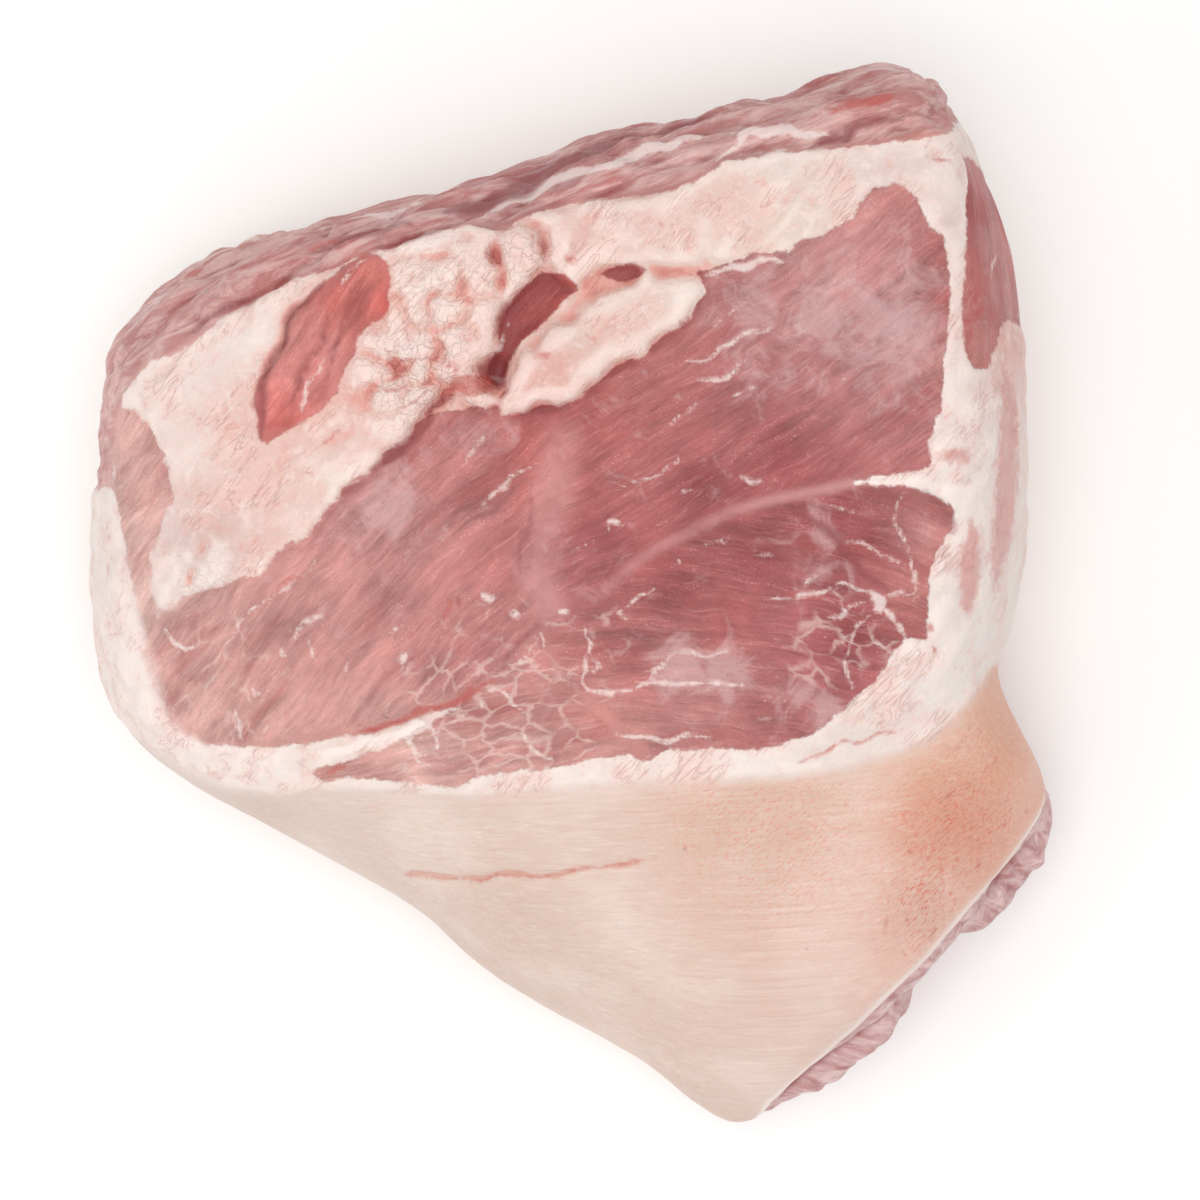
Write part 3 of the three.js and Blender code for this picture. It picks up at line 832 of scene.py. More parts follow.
def fibre_frame(points, place):
    """Distance along and across the fibres at each point, and to the muscle's edge, in millimetres."""
    best = np.full(len(points), -np.inf)
    edge = np.full(len(points), np.inf)
    along = np.zeros(len(points))
    across = np.zeros(len(points))
    for number, (outline, degrees, bend) in enumerate(MUSCLES.values()):
        depth = depth_inside(place, outline)
        on_top = 0 if number < BESIDE_OTHERS else ON_TOP_MM
        here = (depth + on_top > best) & ((number < BESIDE_OTHERS) | (depth > 0))
        edge = np.minimum(edge, np.abs(depth)) if number else np.abs(depth)
        run, side = turned(points[here], degrees)[:, :2].T
        along[here] = run + APART_MM * number
        across[here] = side + bend / 1000 * run**2
        best[here] = depth[here] + on_top
    return along, across, edge


# %% Carve


def carve(piece):
    """Moves each vertex of the piece along its normal by the relief."""
    points = points_of(piece.data)
    moved = points + normals_of(piece.data) * relief(points)[:, None]
    piece.data.vertices.foreach_set("co", (moved / 1000).astype(np.float32).ravel())
    piece.data.update()


carve(leg)
make_even(leg, EVEN_MM)
soften(leg, 1, 0.35)

# %% [markdown]
# ## Thinning
# The carved mesh has about half a million triangles, more than the look needs. A Decimate modifier
# takes out short edges until MOST_TRIANGLES are left. The underside, which is seldom seen, gets a
# larger weight, so it gives up more of them. A vertex without any weight would never be taken out, so
# the rest has a small weight too.

# %% Thin out
MOST_TRIANGLES = 190000
UNDERSIDE_MM = 32  # the weight begins to grow below this height
WEIGHT_LEVELS = (0.0, 0.25, 0.5, 0.75, 1.0)


def count_triangles(piece):
    """How many triangles the piece's faces make."""
    return sum(len(face.vertices) - 2 for face in piece.data.polygons)


triangles = count_triangles(leg)
print("before thinning:", triangles, "triangles")
seldom_seen = leg.vertex_groups.new(name="seldom seen")
underneath = smooth_step(UNDERSIDE_MM - points_of(leg.data)[:, 2], 0, 14)
for level in WEIGHT_LEVELS:
    chosen = np.flatnonzero(np.round(underneath * 4) / 4 == level)
    seldom_seen.add(chosen.tolist(), 0.2 + 0.55 * level, "REPLACE")
thin_out = leg.modifiers.new("thin out", "DECIMATE")
thin_out.vertex_group = seldom_seen.name
thin_out.vertex_group_factor = 1.0
thin_out.ratio = min(1, MOST_TRIANGLES / triangles)
with_modifiers(leg)
leg.vertex_groups.clear()
for face in leg.data.polygons:
    face.use_smooth = True
points = points_of(leg.data)
print("carved mesh:", count_triangles(leg), "triangles and", len(points), "vertices")

# %% [markdown]
# ## Painting by attribute
# The finished mesh now gets its depths again, this time as named attributes that the material reads.
# It also gets a soft base colour for each of the three things, mixed from spots of colour, each at its
# place on the map. Lean is redder where the meat is deep and paler under film and under a painted sheen,
# fat runs from white to pink, and the rind is tan with a sore patch.

# %% Colours


def linear(hex_colour):
    """An sRGB colour such as "#c58884" as linear red, green, blue and 1."""
    channels = [int(hex_colour[i : i + 2], 16) / 255 for i in (1, 3, 5)]
    turned_linear = [c / 12.92 if c <= 0.04045 else ((c + 0.055) / 1.055) ** 2.4 for c in channels]
    return (*turned_linear, 1.0)

# %% Spots of lean
LEAN_SPOTS = [
    ((-0.3, 0.12), "#c68b87"), ((-0.62, -0.1), "#cb958e"), ((-0.78, -0.05), "#d3a29b"),
    ((-0.75, -0.18), "#d9aaa1"), ((-0.6, -0.2), "#d2a098"), ((-0.45, -0.18), "#d09b94"),
    ((-0.5, -0.08), "#c9908b"), ((-0.3, -0.06), "#c18480"), ((-0.2, -0.08), "#b97a78"),
    ((-0.4, 0.2), "#c99693"), ((-0.2, 0.3), "#c58d8b"), ((-0.12, 0.33), "#c46e6a"),
    ((-0.1, 0.22), "#bf7672"), ((-0.05, 0.28), "#bd6562"), ((0.05, 0.33), "#bc6c69"),
    ((0.12, 0.25), "#bb7371"), ((0.15, 0.38), "#bd7b78"), ((0.3, 0.35), "#b67271"),
    ((0.25, 0.22), "#a05659"), ((0.4, 0.27), "#a05659"), ((0.45, 0.42), "#bc8180"),
    ((0.5, 0.55), "#c49491"), ((0.6, 0.62), "#bd8684"), ((0.65, 0.48), "#c49997"),
    ((0.62, 0.35), "#b77c7b"), ((0.7, 0.55), "#b67574"), ((0.35, 0.55), "#bb7f7c"),
    ((0.05, 0.12), "#a85d60"), ((0, 0.08), "#b46d6d"), ((0.2, 0.03), "#a75b5c"),
    ((0.35, 0.09), "#a4595b"), ((0.5, 0.15), "#9d5255"), ((0.6, 0.13), "#9c5053"),
    ((0.68, 0.13), "#c98f8b"), ((0.7, 0.03), "#c9837e"), ((0.55, -0.05), "#9c5053"),
    ((0.45, -0.03), "#b06b6c"), ((0.3, -0.04), "#b26a69"), ((0.1, -0.07), "#b46c6b"),
    ((0.25, -0.11), "#c48580"), ((0.4, -0.17), "#b67473"), ((0.52, -0.14), "#ad686a"),
    ((0.22, -0.18), "#cb8f8b"), ((0.05, -0.18), "#c98a84"), ((-0.1, -0.12), "#cc908b"),
    ((-0.12, -0.23), "#dba9a1"), ((-0.3, -0.27), "#e6bab1"), ((0.05, -0.24), "#cf9791"),
    # the torn hip side
    ((-0.9, 0.3), "#e2b5ac"), ((-0.91, 0.15), "#e2b9b0"), ((-0.88, 0.02), "#e6c2b8"),
    ((-0.88, 0.42), "#e7b9b3"), ((-0.8, 0.5), "#e4b2ad"), ((-0.88, 0.55), "#e6c2bd"),
    ((-0.72, 0.57), "#dfaca7"), ((-0.65, 0.6), "#cc918d"), ((-0.72, 0.65), "#d3a19b"),
    ((-0.5, 0.64), "#c07b78"), ((-0.5, 0.7), "#d09a94"), ((-0.35, 0.68), "#bd7674"),
    ((-0.3, 0.74), "#d2a09a"), ((-0.15, 0.7), "#c99793"), ((-0.1, 0.78), "#b16a68"),
    ((0.05, 0.75), "#cf9b97"), ((0, 0.85), "#ba6f6d"), ((0.2, 0.77), "#cc8f8a"),
    ((0.2, 0.84), "#d8aeaa"), ((0.2, 0.93), "#b96b69"), ((0.4, 0.84), "#dfb5ad"),
    ((0.35, 0.93), "#cd9691"), ((0.52, 0.88), "#bf6e6a"), ((0.6, 0.93), "#cc8e89"),
    ((0.65, 0.86), "#dba49b"), ((0.55, 0.97), "#d6aaa5"),
    # the strip on the right
    ((0.8, 0.7), "#a84443"), ((0.79, 0.52), "#b35450"), ((0.83, 0.6), "#bf6e6a"),
    ((0.8, 0.44), "#cd8078"),
    # red lean on the fat
    ((-0.58, 0.34), "#d6756f"), ((-0.56, 0.42), "#da8d88"), ((-0.5, 0.45), "#de928c"),
    ((-0.45, 0.53), "#cf726b"), ((-0.4, 0.59), "#d77f76"), ((-0.37, 0.53), "#cb645f"),
    ((-0.1, 0.53), "#a8504e"), ((-0.05, 0.56), "#bd6a66"), ((-0.14, 0.42), "#8f4f50"),
    ((0.1, 0.587), "#c77a75"),
]

# %% Spots of fat
FAT_SPOTS = [
    ((-0.8, 0.42), "#f9ebe4"), ((-0.65, 0.48), "#f8e9e1"), ((-0.75, 0.3), "#f5e0d8"),
    ((-0.66, 0.33), "#eecbc1"), ((-0.65, 0.22), "#e8cbc1"), ((-0.8, 0.14), "#e2cbc6"),
    ((-0.72, 0.15), "#ddbcb3"), ((-0.6, 0.13), "#ecc6bc"), ((-0.78, 0.04), "#f0dcd4"),
    ((-0.55, 0.25), "#f0d3c9"), ((-0.36, 0.52), "#e6aba0"), ((-0.47, 0.36), "#e8b1a6"),
    ((-0.57, 0.28), "#ecc0b6"), ((-0.43, 0.29), "#f0d2c9"), ((-0.47, 0.24), "#f1e0d4"),
    ((-0.35, 0.34), "#efcdc3"), ((-0.42, 0.38), "#ecb7ac"), ((-0.35, 0.45), "#fae4dc"),
    ((-0.28, 0.55), "#fae2da"), ((-0.3, 0.63), "#fae2d9"), ((-0.2, 0.6), "#efc9bf"),
    ((-0.2, 0.5), "#f0cbc1"), ((-0.22, 0.42), "#e8a79c"), ((-0.1, 0.63), "#ecb6ab"),
    ((0.02, 0.66), "#edc6bc"), ((0.15, 0.67), "#ebcbc2"), ((0.25, 0.64), "#eed6cb"),
    ((0.3, 0.7), "#f0cdc2"), ((0.4, 0.75), "#eedcd2"), ((0.42, 0.66), "#ecd6c8"),
    ((0.55, 0.76), "#efdcd3"), ((0.6, 0.74), "#e6cdc8"), ((0.72, 0.8), "#efdcd4"),
    ((0.75, 0.65), "#eed8d1"), ((-0.1, 0.38), "#ebb4aa"), ((-0.03, 0.42), "#e5b1a6"),
    ((0.03, 0.5), "#e6c8bd"), ((0.1, 0.54), "#e9cfc4"), ((0.12, 0.46), "#e8c0b5"),
    ((0.22, 0.55), "#f1dfd4"), ((0.74, 0.4), "#f8e8e2"), ((0.8, 0.35), "#f8e9e3"),
    ((0.75, 0.22), "#faeee8"), ((0.85, 0.47), "#e5a89d"), ((0.74, 0.05), "#efe0da"),
    ((0.82, -0.02), "#f8ece6"), ((0.7, -0.1), "#faefe9"), ((0.65, -0.17), "#f5eae5"),
    ((0.55, -0.22), "#f0e0d7"), ((0.3, -0.28), "#f8ebe4"), ((0, -0.3), "#f8e9e1"),
    ((-0.3, -0.32), "#f1e0d8"), ((-0.6, -0.3), "#faeee7"), ((-0.7, -0.28), "#faeee8"),
    ((-0.55, -0.33), "#ecd6cb"), ((-0.95, 0.15), "#faf0ea"), ((-0.93, -0.05), "#fcf1eb"),
    ((-0.9, -0.17), "#f9e9e2"),
]

# %% Spots of rind
RIND_SPOTS = [
    ((-0.8, -0.33), "#e8d5cb"), ((-0.65, -0.37), "#dfc6b8"), ((-0.5, -0.36), "#e8d5ca"),
    ((-0.3, -0.38), "#e8d3c6"), ((0, -0.36), "#e8d2c5"), ((-0.3, -0.46), "#e9d3c8"),
    ((0.1, -0.45), "#e4cbbe"), ((-0.1, -0.55), "#dfc4b6"), ((0.1, -0.6), "#e7d0c2"),
    ((0.3, -0.38), "#ddbca9"), ((0.5, -0.36), "#dcb49e"), ((0.35, -0.48), "#e0c3b3"),
    ((0.3, -0.7), "#e9d2c5"), ((0, -0.7), "#e3cbbd"), ((0.35, -0.88), "#e7cfc4"),
    ((0.55, -0.6), "#ebd0c3"), ((0.5, -0.72), "#e6cbbf"), ((0.6, -0.42), "#e8c9b9"),
    ((0.55, -0.3), "#e8cfc0"), ((0.72, -0.27), "#e3b69c"), ((0.8, -0.2), "#e9bda4"),
    ((0.86, -0.22), "#f0b599"), ((0.84, -0.3), "#f0a98c"), ((0.9, -0.3), "#f2b79d"),
    ((0.75, -0.38), "#f0967b"), ((0.82, -0.42), "#f4a78e"), ((0.7, -0.44), "#eea58b"),
    ((0.74, -0.5), "#f6c2ae"), ((0.68, -0.56), "#f7cabb"), ((0.65, -0.63), "#f5c4b3"),
    ((0.92, -0.36), "#eebda9"), ((0.6, -0.52), "#edcdbe"), ((0.2, -0.95), "#dfc5b6"),
    ((-0.4, -0.62), "#dcc2b3"),
]

# %% Tables of colour
SHEEN = {"lean": 0.035, "fat": 0.03, "rind": 0.02}  # light that the wet surface adds by reflection
DEPTH = {"lean": 0.94, "fat": 0.88, "rind": 0.9}  # evens out what the whitish patterns add
tables = {
    name: [(where, DEPTH[name] * np.array(linear(value)[:3]) - SHEEN[name]) for where, value in spots]
    for name, spots in (("lean", LEAN_SPOTS), ("fat", FAT_SPOTS), ("rind", RIND_SPOTS))
}

# %% [markdown]
# ### Storing it on the mesh
# An attribute holds one value for each vertex under a name, and an Attribute node reads it. Soft round
# patches say where film lies, where a painted sheen whitens the lean, where the meat is marbled and where
# the skin is sore. How hollow the surface is comes from comparing each vertex with the average of its
# neighbours; it sets painted shade in hollows and a painted highlight on the fat's ridges.

# %% Attribute helpers


def add_number(mesh, name, values):
    """Stores one number per vertex under a name."""
    layer = mesh.attributes.new(name, "FLOAT", "POINT")
    layer.data.foreach_set("value", np.asarray(values, np.float32))


def add_colour(mesh, name, colours):
    """Stores one linear colour per vertex under a name."""
    layer = mesh.attributes.new(name, "FLOAT_COLOR", "POINT")
    with_alpha = np.concatenate([colours, np.ones((len(colours), 1))], 1)
    layer.data.foreach_set("color", with_alpha.astype(np.float32).ravel())


def hollowness(mesh, rounds):
    """How far each vertex lies below the average of its neighbours, in millimetres."""
    points = points_of(mesh)
    edges = np.empty(len(mesh.edges) * 2, np.int32)
    mesh.edges.foreach_get("vertices", edges)
    first, second = edges.reshape(-1, 2).T
    count = np.bincount(edges, minlength=len(points))[:, None]
    smooth = points
    for _ in range(rounds):
        total = np.zeros_like(points)
        for axis in range(3):
            total[:, axis] = np.bincount(first, smooth[second, axis], len(points))
            total[:, axis] += np.bincount(second, smooth[first, axis], len(points))
        smooth = total / count
    return np.einsum("ij,ij->i", smooth - points, normals_of(mesh))


# %% Patches
# Each soft round patch: its strength, its middle on the map and its radius in millimetres.
# Pale film on the lean; the patch on the upper right also stands in for a painted sheen of the wet meat.
FILM_AND_SHEEN_PATCHES = [
    (1, (0.6, 0.5), 34), (0.7, (-0.35, 0.22), 28), (0.8, (0.48, 0.12), 14), (0.7, (0.45, -0.17), 14),
    (1.5, (0.21, -0.1), 13), (1.5, (0.3, -0.11), 11), (0.6, (-0.15, 0.33), 12), (1.3, (0.45, -0.15), 8),
    (1.3, (0.49, -0.18), 9), (0.8, (0.4, 0.5), 30),
]
MARBLED_PATCHES = [
    (1, (-0.15, -0.2), 40), (0.8, (0.53, -0.06), 22), (0.55, (-0.7, -0.17), 30), (0.35, (0.05, -0.08), 30),
]
BLUSH_PATCHES = [(1, (0.78, -0.4), 30), (0.9, (0.7, -0.55), 20), (0.55, (0.85, -0.25), 20)]

# %% Colours on the mesh
told = surface_depths(points)
place = told["place"]
along, across, edge = fibre_frame(points, place)
drift = np.stack([noise(points, 9, 81), noise(points, 9, 82)], 1)
wandering = place + 2.5 * drift
for name, table in tables.items():
    softness = 14 if name == "rind" else 6
    add_colour(leg.data, name + " colour", blend_spots(wandering, table, softness).clip(0.01))

# %% Numbers on the mesh
stronger_right = 0.5 + 0.5 * smooth_step(place[:, 0], 0, 60)
seam = np.maximum(
    0.6 * smooth_step(8 - distance_to_line(place, PALE_SEAM), 0, 7),
    0.8 * smooth_step(2.2 - distance_to_line(place, RIGHT_SEAM), 0, 2.2) * stronger_right,
)
film_and_sheen = np.maximum(patches(place, FILM_AND_SHEEN_PATCHES), 0.9 * smooth_step(told["band"], 0, 3))
marble = patches(place, MARBLED_PATCHES)
blush = patches(place, BLUSH_PATCHES)
pores = np.maximum(blush, 0.45 * near(place, (0.4, -0.38), 48))
large, small = crumb_pattern(points)
in_crumbs = torn_fat(place) * smooth_step(told["fat"], 0, 2)
# The creases between crumbs of torn fat count as hollow too, so they get the painted shade of creases.
hollow = hollowness(leg.data, 14) + in_crumbs * (0.6 - 0.8 * large - 0.4 * small)
streaks = np.maximum.reduce([depth_inside(place, shape) for shape in SIDE_STREAKS])
numbers = {
    "fat": told["fat"], "rind": told["rind"], "cut": told["cut"], "band": told["band"],
    "along": along, "across": across, "edge": edge, "hollow": hollow,
    "torn": torn_fat(place), "seam": seam, "film_and_sheen": film_and_sheen, "marble": marble, "blush": blush,
    "pores": pores, "streaks": streaks, "left fade": near(place, (-0.85, -0.12), 30),
    "pale mark": mark_field(place, PALE_MARKS), "shade and dark mark": mark_field(place, SHADE_AND_DARK_MARKS),
    "red mark": mark_field(place, RED_MARKS),
}
for name, values in numbers.items():
    add_number(leg.data, name, values)
for name in ("fat", "rind", "cut"):
    print(name, "covers", (told[name] > 0).mean().round(2), "of the vertices")

# %% [markdown]
# ## Materials
# Raw pork is one wet, slightly see-through surface. Lean is muscle: pink to red, streaked along its
# fibres, with fine marbling. Fat is ivory, waxy, stained pink where blood lies in its creases. Rind is
# scalded skin: tan, dull, with pores and fine lines. One material mixes the three by the depths, with
# its edges sharpened and made ragged by fine noise.

# %% Material helper


def add(tree, kind, settings=None, out=0, **links):
    """Adds a node, sets its properties, links or sets its inputs, and gives one of its outputs."""
    node = tree.nodes.new("ShaderNode" + kind)
    for name, value in (settings or {}).items():
        setattr(node, name, value)
    for name, source in links.items():
        key = int(name[1:]) if name[0] == "i" and name[1:].isdigit() else name.replace("_", " ")
        if isinstance(source, bpy.types.NodeSocket):
            tree.links.new(source, node.inputs[key])
        else:
            node.inputs[key].default_value = source
    return node.outputs[out] if len(node.outputs) else node


TIMES = {"operation": "MULTIPLY"}
MINUS = {"operation": "SUBTRACT"}
TIMES_PLUS = {"operation": "MULTIPLY_ADD"}
SCALE = {"operation": "SCALE"}
STEP = {"interpolation_type": "SMOOTHSTEP"}
COLOUR = {"data_type": "RGBA"}
EDGES = {"feature": "DISTANCE_TO_EDGE"}
AS_SIZES = {"vector_type": "TEXTURE"}  # a Mapping node's Scale then gives sizes in millimetres

# %% Wet surface
# Lengths are in millimetres here, so a noise's Scale is one over the size of its lumps: 0.45 gives lumps
# of 2.2 mm, and 0.07 gives clouds of 14 mm.
pork = bpy.data.materials.new("raw pork")
pork.use_nodes = True
tree = pork.node_tree
tree.nodes.clear()
mm = add(tree, "VectorMath", SCALE, i0=add(tree, "TexCoord", out="Object"), Scale=1000.0)
stored = {name: add(tree, "Attribute", {"attribute_name": name}, out="Fac") for name in numbers}
base = {
    name: add(tree, "Attribute", {"attribute_name": name + " colour"}, out="Color")
    for name in ("lean", "fat", "rind")
}
ragged = add(tree, "TexNoise", Vector=mm, Scale=0.45, Detail=4.0, Roughness=0.65)
ragged = add(tree, "Math", MINUS, i0=ragged, i1=0.5)
cloud = add(tree, "TexNoise", Vector=mm, Scale=0.07, Detail=5.0, Roughness=0.6)
speck = add(tree, "TexNoise", Vector=mm, Scale=0.9, Detail=3.0, Roughness=0.6)

# %% [markdown]
# ### Lean
# Three noises, stretched along the fibres, give strands 7 mm wide, bundles of 2 to 3 mm and threads of
# 0.7 mm. The real threads are finer, about 0.1 mm, and would not show. Pale film lies on the muscle in
# patches, and on the upper right the same pale colour is a painted sheen. Small pale specks are painted
# glints. Thin lines of fat branch between the bundles where the meat is marbled.

# %% Lean
wander = add(tree, "Math", MINUS, i0=add(tree, "TexNoise", Vector=mm, Scale=0.05, Detail=2.0), i1=0.5)
across_fibres = add(tree, "Math", TIMES_PLUS, i0=wander, i1=6.0, i2=stored["across"])
level = add(tree, "SeparateXYZ", out="Z", Vector=mm)
within_muscle = add(tree, "MapRange", STEP, Value=stored["edge"], From_Min=0.6, From_Max=2.2)
in_fibres = add(tree, "CombineXYZ", X=stored["along"], Y=across_fibres, Z=level)
by_width = []
for length_mm, width_mm, detail in ((40, 7, 4.0), (24, 2.4, 4.0), (7, 0.7, 2.0)):
    per_mm = (1 / length_mm, 1 / width_mm, 0.4 / width_mm)
    stretched = add(tree, "VectorMath", TIMES, i0=in_fibres, i1=per_mm)
    streak = add(tree, "TexNoise", Vector=stretched, Scale=1.0, Detail=detail, Roughness=0.62, Distortion=0.3)
    by_width.append(add(tree, "Mix", None, 0, i0=within_muscle, i2=0.5, i3=streak))
strands, bundles, threads = by_width
grain = add(tree, "TexNoise", Vector=mm, Scale=2.0, Detail=3.0, Roughness=0.7)
tone = add(tree, "Math", TIMES, i0=cloud, i1=0.34)
for noise_value, weight in ((strands, 0.3), (bundles, 0.28), (threads, 0.12), (grain, 0.12)):
    tone = add(tree, "Math", TIMES_PLUS, i0=noise_value, i1=weight, i2=tone)
shade = add(tree, "MapRange", Value=tone, From_Min=0.47, From_Max=0.7, To_Min=0.62, To_Max=1.36)
pale_threads = add(tree, "MapRange", STEP, Value=threads, From_Min=0.54, From_Max=0.8, To_Max=0.16)
ruddy = add(tree, "MapRange", STEP, Value=strands, From_Min=0.5, From_Max=0.32, To_Max=0.35)
# Pale film whitens the lean, and on the upper right it is also a painted sheen.
film_and_sheen_share = add(tree, "TexNoise", Vector=mm, Scale=0.11, Detail=6.0, Roughness=0.7, Distortion=0.8)
film_and_sheen_share = add(tree, "Math", TIMES_PLUS, i0=stored["film_and_sheen"], i1=0.24, i2=film_and_sheen_share)
film_and_sheen_share = add(tree, "MapRange", STEP, Value=film_and_sheen_share, From_Min=0.54, From_Max=0.82, To_Max=0.5)
lean = add(tree, "VectorMath", SCALE, i0=base["lean"], Scale=shade)
for share, tint in ((pale_threads, "#ecc9c0"), (ruddy, "#b95c59"), (film_and_sheen_share, "#d9b4b2")):
    lean = add(tree, "Mix", COLOUR, 2, i0=share, i6=lean, i7=linear(tint))

# %% Torn lean
torn_meat = add(tree, "CombineXYZ", X=stored["along"], Y=stored["across"], Z=level)
torn_meat = add(tree, "VectorMath", TIMES, i0=torn_meat, i1=(1 / 20, 1 / 5, 1 / 7))
torn_meat = add(tree, "TexNoise", Vector=torn_meat, Scale=1.0, Detail=6.0, Roughness=0.68, Distortion=0.9)
torn_share = add(tree, "MapRange", STEP, Value=torn_meat, From_Min=0.38, From_Max=0.64)
torn_colour = add(tree, "Mix", COLOUR, 2, i0=torn_share, i6=linear("#ac5a56"), i7=linear("#e9c6bf"))
in_band = add(tree, "MapRange", STEP, Value=stored["band"], From_Min=-0.5, From_Max=2.5, To_Max=0.55)
lean = add(tree, "Mix", COLOUR, 2, i0=in_band, i6=lean, i7=torn_colour)

# %% Marbling
marble_place = add(tree, "VectorMath", TIMES, i0=in_fibres, i1=(0.13, 0.2, 0.0))
bent = add(tree, "TexNoise", out="Color", Vector=marble_place, Scale=2.0, Detail=3.0)
bent = add(tree, "VectorMath", TIMES_PLUS, i0=bent, i1=(0.6, 0.6, 0.0), i2=marble_place)
cells = add(tree, "TexVoronoi", EDGES, Vector=bent, Scale=1.0)
lines = add(tree, "MapRange", STEP, Value=cells, From_Min=0.1, From_Max=0.0, To_Max=1.0)
where = add(tree, "TexNoise", Vector=mm, Scale=0.16, Detail=3.0)
where = add(tree, "Math", TIMES_PLUS, i0=stored["marble"], i1=0.42, i2=where)
where = add(tree, "MapRange", STEP, Value=where, From_Min=0.6, From_Max=0.85)
marbling = add(tree, "Math", TIMES, i0=lines, i1=where)
marbling = add(tree, "Math", TIMES, i0=marbling, i1=0.42)

# %% Seam, painted glints and painted shade in hollows
seam_share = add(tree, "MapRange", STEP, Value=cloud, From_Min=0.3, From_Max=0.65, To_Min=0.3, To_Max=0.8)
seam_share = add(tree, "Math", TIMES, i0=seam_share, i1=stored["seam"])
# Painted glints: small pale specks on the ridges of the bundles stand in for highlights on wet fibres.
painted_glints = add(tree, "MapRange", STEP, Value=grain, From_Min=0.58, From_Max=0.72)
on_bundles = add(tree, "MapRange", STEP, Value=bundles, From_Min=0.45, From_Max=0.7, To_Max=0.6)
painted_glints = add(tree, "Math", TIMES, i0=painted_glints, i1=on_bundles)
# Painted shade: the hollows of the lean are darkened to maroon.
painted_hollow_shade = add(tree, "MapRange", STEP, Value=stored["hollow"], From_Min=0.1, From_Max=1.0, To_Max=0.8)
for share, tint in ((marbling, "#edd2c8"), (seam_share, "#d5a19d"), (painted_glints, "#f0dcd6"), (painted_hollow_shade, "#934543")):
    lean = add(tree, "Mix", COLOUR, 2, i0=share, i6=lean, i7=linear(tint))
lean_bump = add(tree, "Math", TIMES_PLUS, i0=threads, i1=0.35, i2=bundles)
lean_bump = add(tree, "Math", TIMES_PLUS, i0=grain, i1=0.3, i2=lean_bump)

# %% [markdown]
# ### Fat
# Fat is pink in its creases, where blood and juice gather, and the creases also get painted shade,
# darkest in the deepest ones. Its ridges get a painted highlight, nearly white. How hollow the surface is
# at each point tells the two apart. Soft pink clouds of about a centimetre lie under it.

# %% Fat
small_cloud = add(tree, "TexNoise", Vector=mm, Scale=0.24, Detail=5.0, Roughness=0.62, Distortion=0.5)
crease_depth = add(tree, "Math", TIMES_PLUS, i0=ragged, i1=0.25, i2=stored["hollow"])
fat = base["fat"]
# Creases: pink stain and painted shade, the deepest ones darkest; ridges: a painted highlight.
for value, start, full, most, tint in (
    (cloud, 0.42, 0.66, 0.5, "#e9b9ad"),  # pink clouds
    (small_cloud, 0.5, 0.7, 0.4, "#f3e2da"),  # white patches
    (small_cloud, 0.42, 0.28, 0.4, "#e2a498"),  # stains between them
    (speck, 0.5, 0.75, 0.2, "#f7ebe4"),  # fine white
    (crease_depth, 0.08, 0.6, 0.7, "#dc9488"),  # creases
    (crease_depth, 0.5, 1.3, 0.8, "#b8605a"),  # the deepest creases
    (stored["hollow"], -0.06, -0.6, 0.45, "#f6e8e0"),  # ridges
):
    share = add(tree, "MapRange", STEP, Value=value, From_Min=start, From_Max=full, To_Max=most)
    fat = add(tree, "Mix", COLOUR, 2, i0=share, i6=fat, i7=linear(tint))

# %% Folds and crumbs
# Fine folds 15 mm long and 2.6 mm apart run across the pads. They show where two sides of a noise meet.
fold_place = add(tree, "Mapping", AS_SIZES, Vector=mm, Rotation=(0.0, 0.0, 0.87), Scale=(15.0, 2.6, 6.0))
folds = add(tree, "TexNoise", Vector=fold_place, Scale=1.0, Detail=3.0, Roughness=0.55, Distortion=1.3)
fold_dip = add(tree, "Math", {"operation": "ABSOLUTE"}, i0=add(tree, "Math", MINUS, i0=folds, i1=0.5))
fold_line = add(tree, "MapRange", STEP, Value=fold_dip, From_Min=0.032, From_Max=0.0)
fold_share = add(tree, "MapRange", STEP, Value=cloud, From_Min=0.46, From_Max=0.62, To_Max=0.35)
fold_share = add(tree, "Math", TIMES, i0=fold_line, i1=fold_share)
# The fold lines are painted darker pink: partly pink tissue, partly painted shade in the folds.
fat = add(tree, "Mix", COLOUR, 2, i0=fold_share, i6=fat, i7=linear("#dd9f93"))
# Crumbs of 3 mm are drawn in the bump, between the larger ones that the mesh carries.
crumb_place = add(tree, "TexNoise", out="Color", Vector=mm, Scale=0.3, Detail=2.0)
crumb_place = add(tree, "VectorMath", TIMES_PLUS, i0=crumb_place, i1=(5.0, 5.0, 5.0), i2=mm)
crumb_gap = add(tree, "TexVoronoi", EDGES, Vector=crumb_place, Scale=0.36)
crumb_gap = add(tree, "MapRange", STEP, Value=crumb_gap, From_Min=0.14, From_Max=0.0)
crumb_gap = add(tree, "Math", TIMES, i0=crumb_gap, i1=stored["torn"])
# Streaks of lean show through the fat on the right.
red_veins = add(tree, "Math", TIMES_PLUS, i0=ragged, i1=5.0, i2=stored["streaks"])
red_veins = add(tree, "MapRange", STEP, Value=red_veins, From_Min=-1.0, From_Max=1.6, To_Max=0.8)
vein_colour = add(tree, "Mix", COLOUR, 2, i0=bundles, i6=linear("#c27a76"), i7=linear("#dfaca4"))
fat = add(tree, "Mix", COLOUR, 2, i0=red_veins, i6=fat, i7=vein_colour)
fat_bump = add(tree, "Math", TIMES, i0=small_cloud, i1=0.7)
for height, weight in ((speck, 0.25), (fold_share, -0.6), (crumb_gap, -0.45)):
    fat_bump = add(tree, "Math", TIMES_PLUS, i0=height, i1=weight, i2=fat_bump)
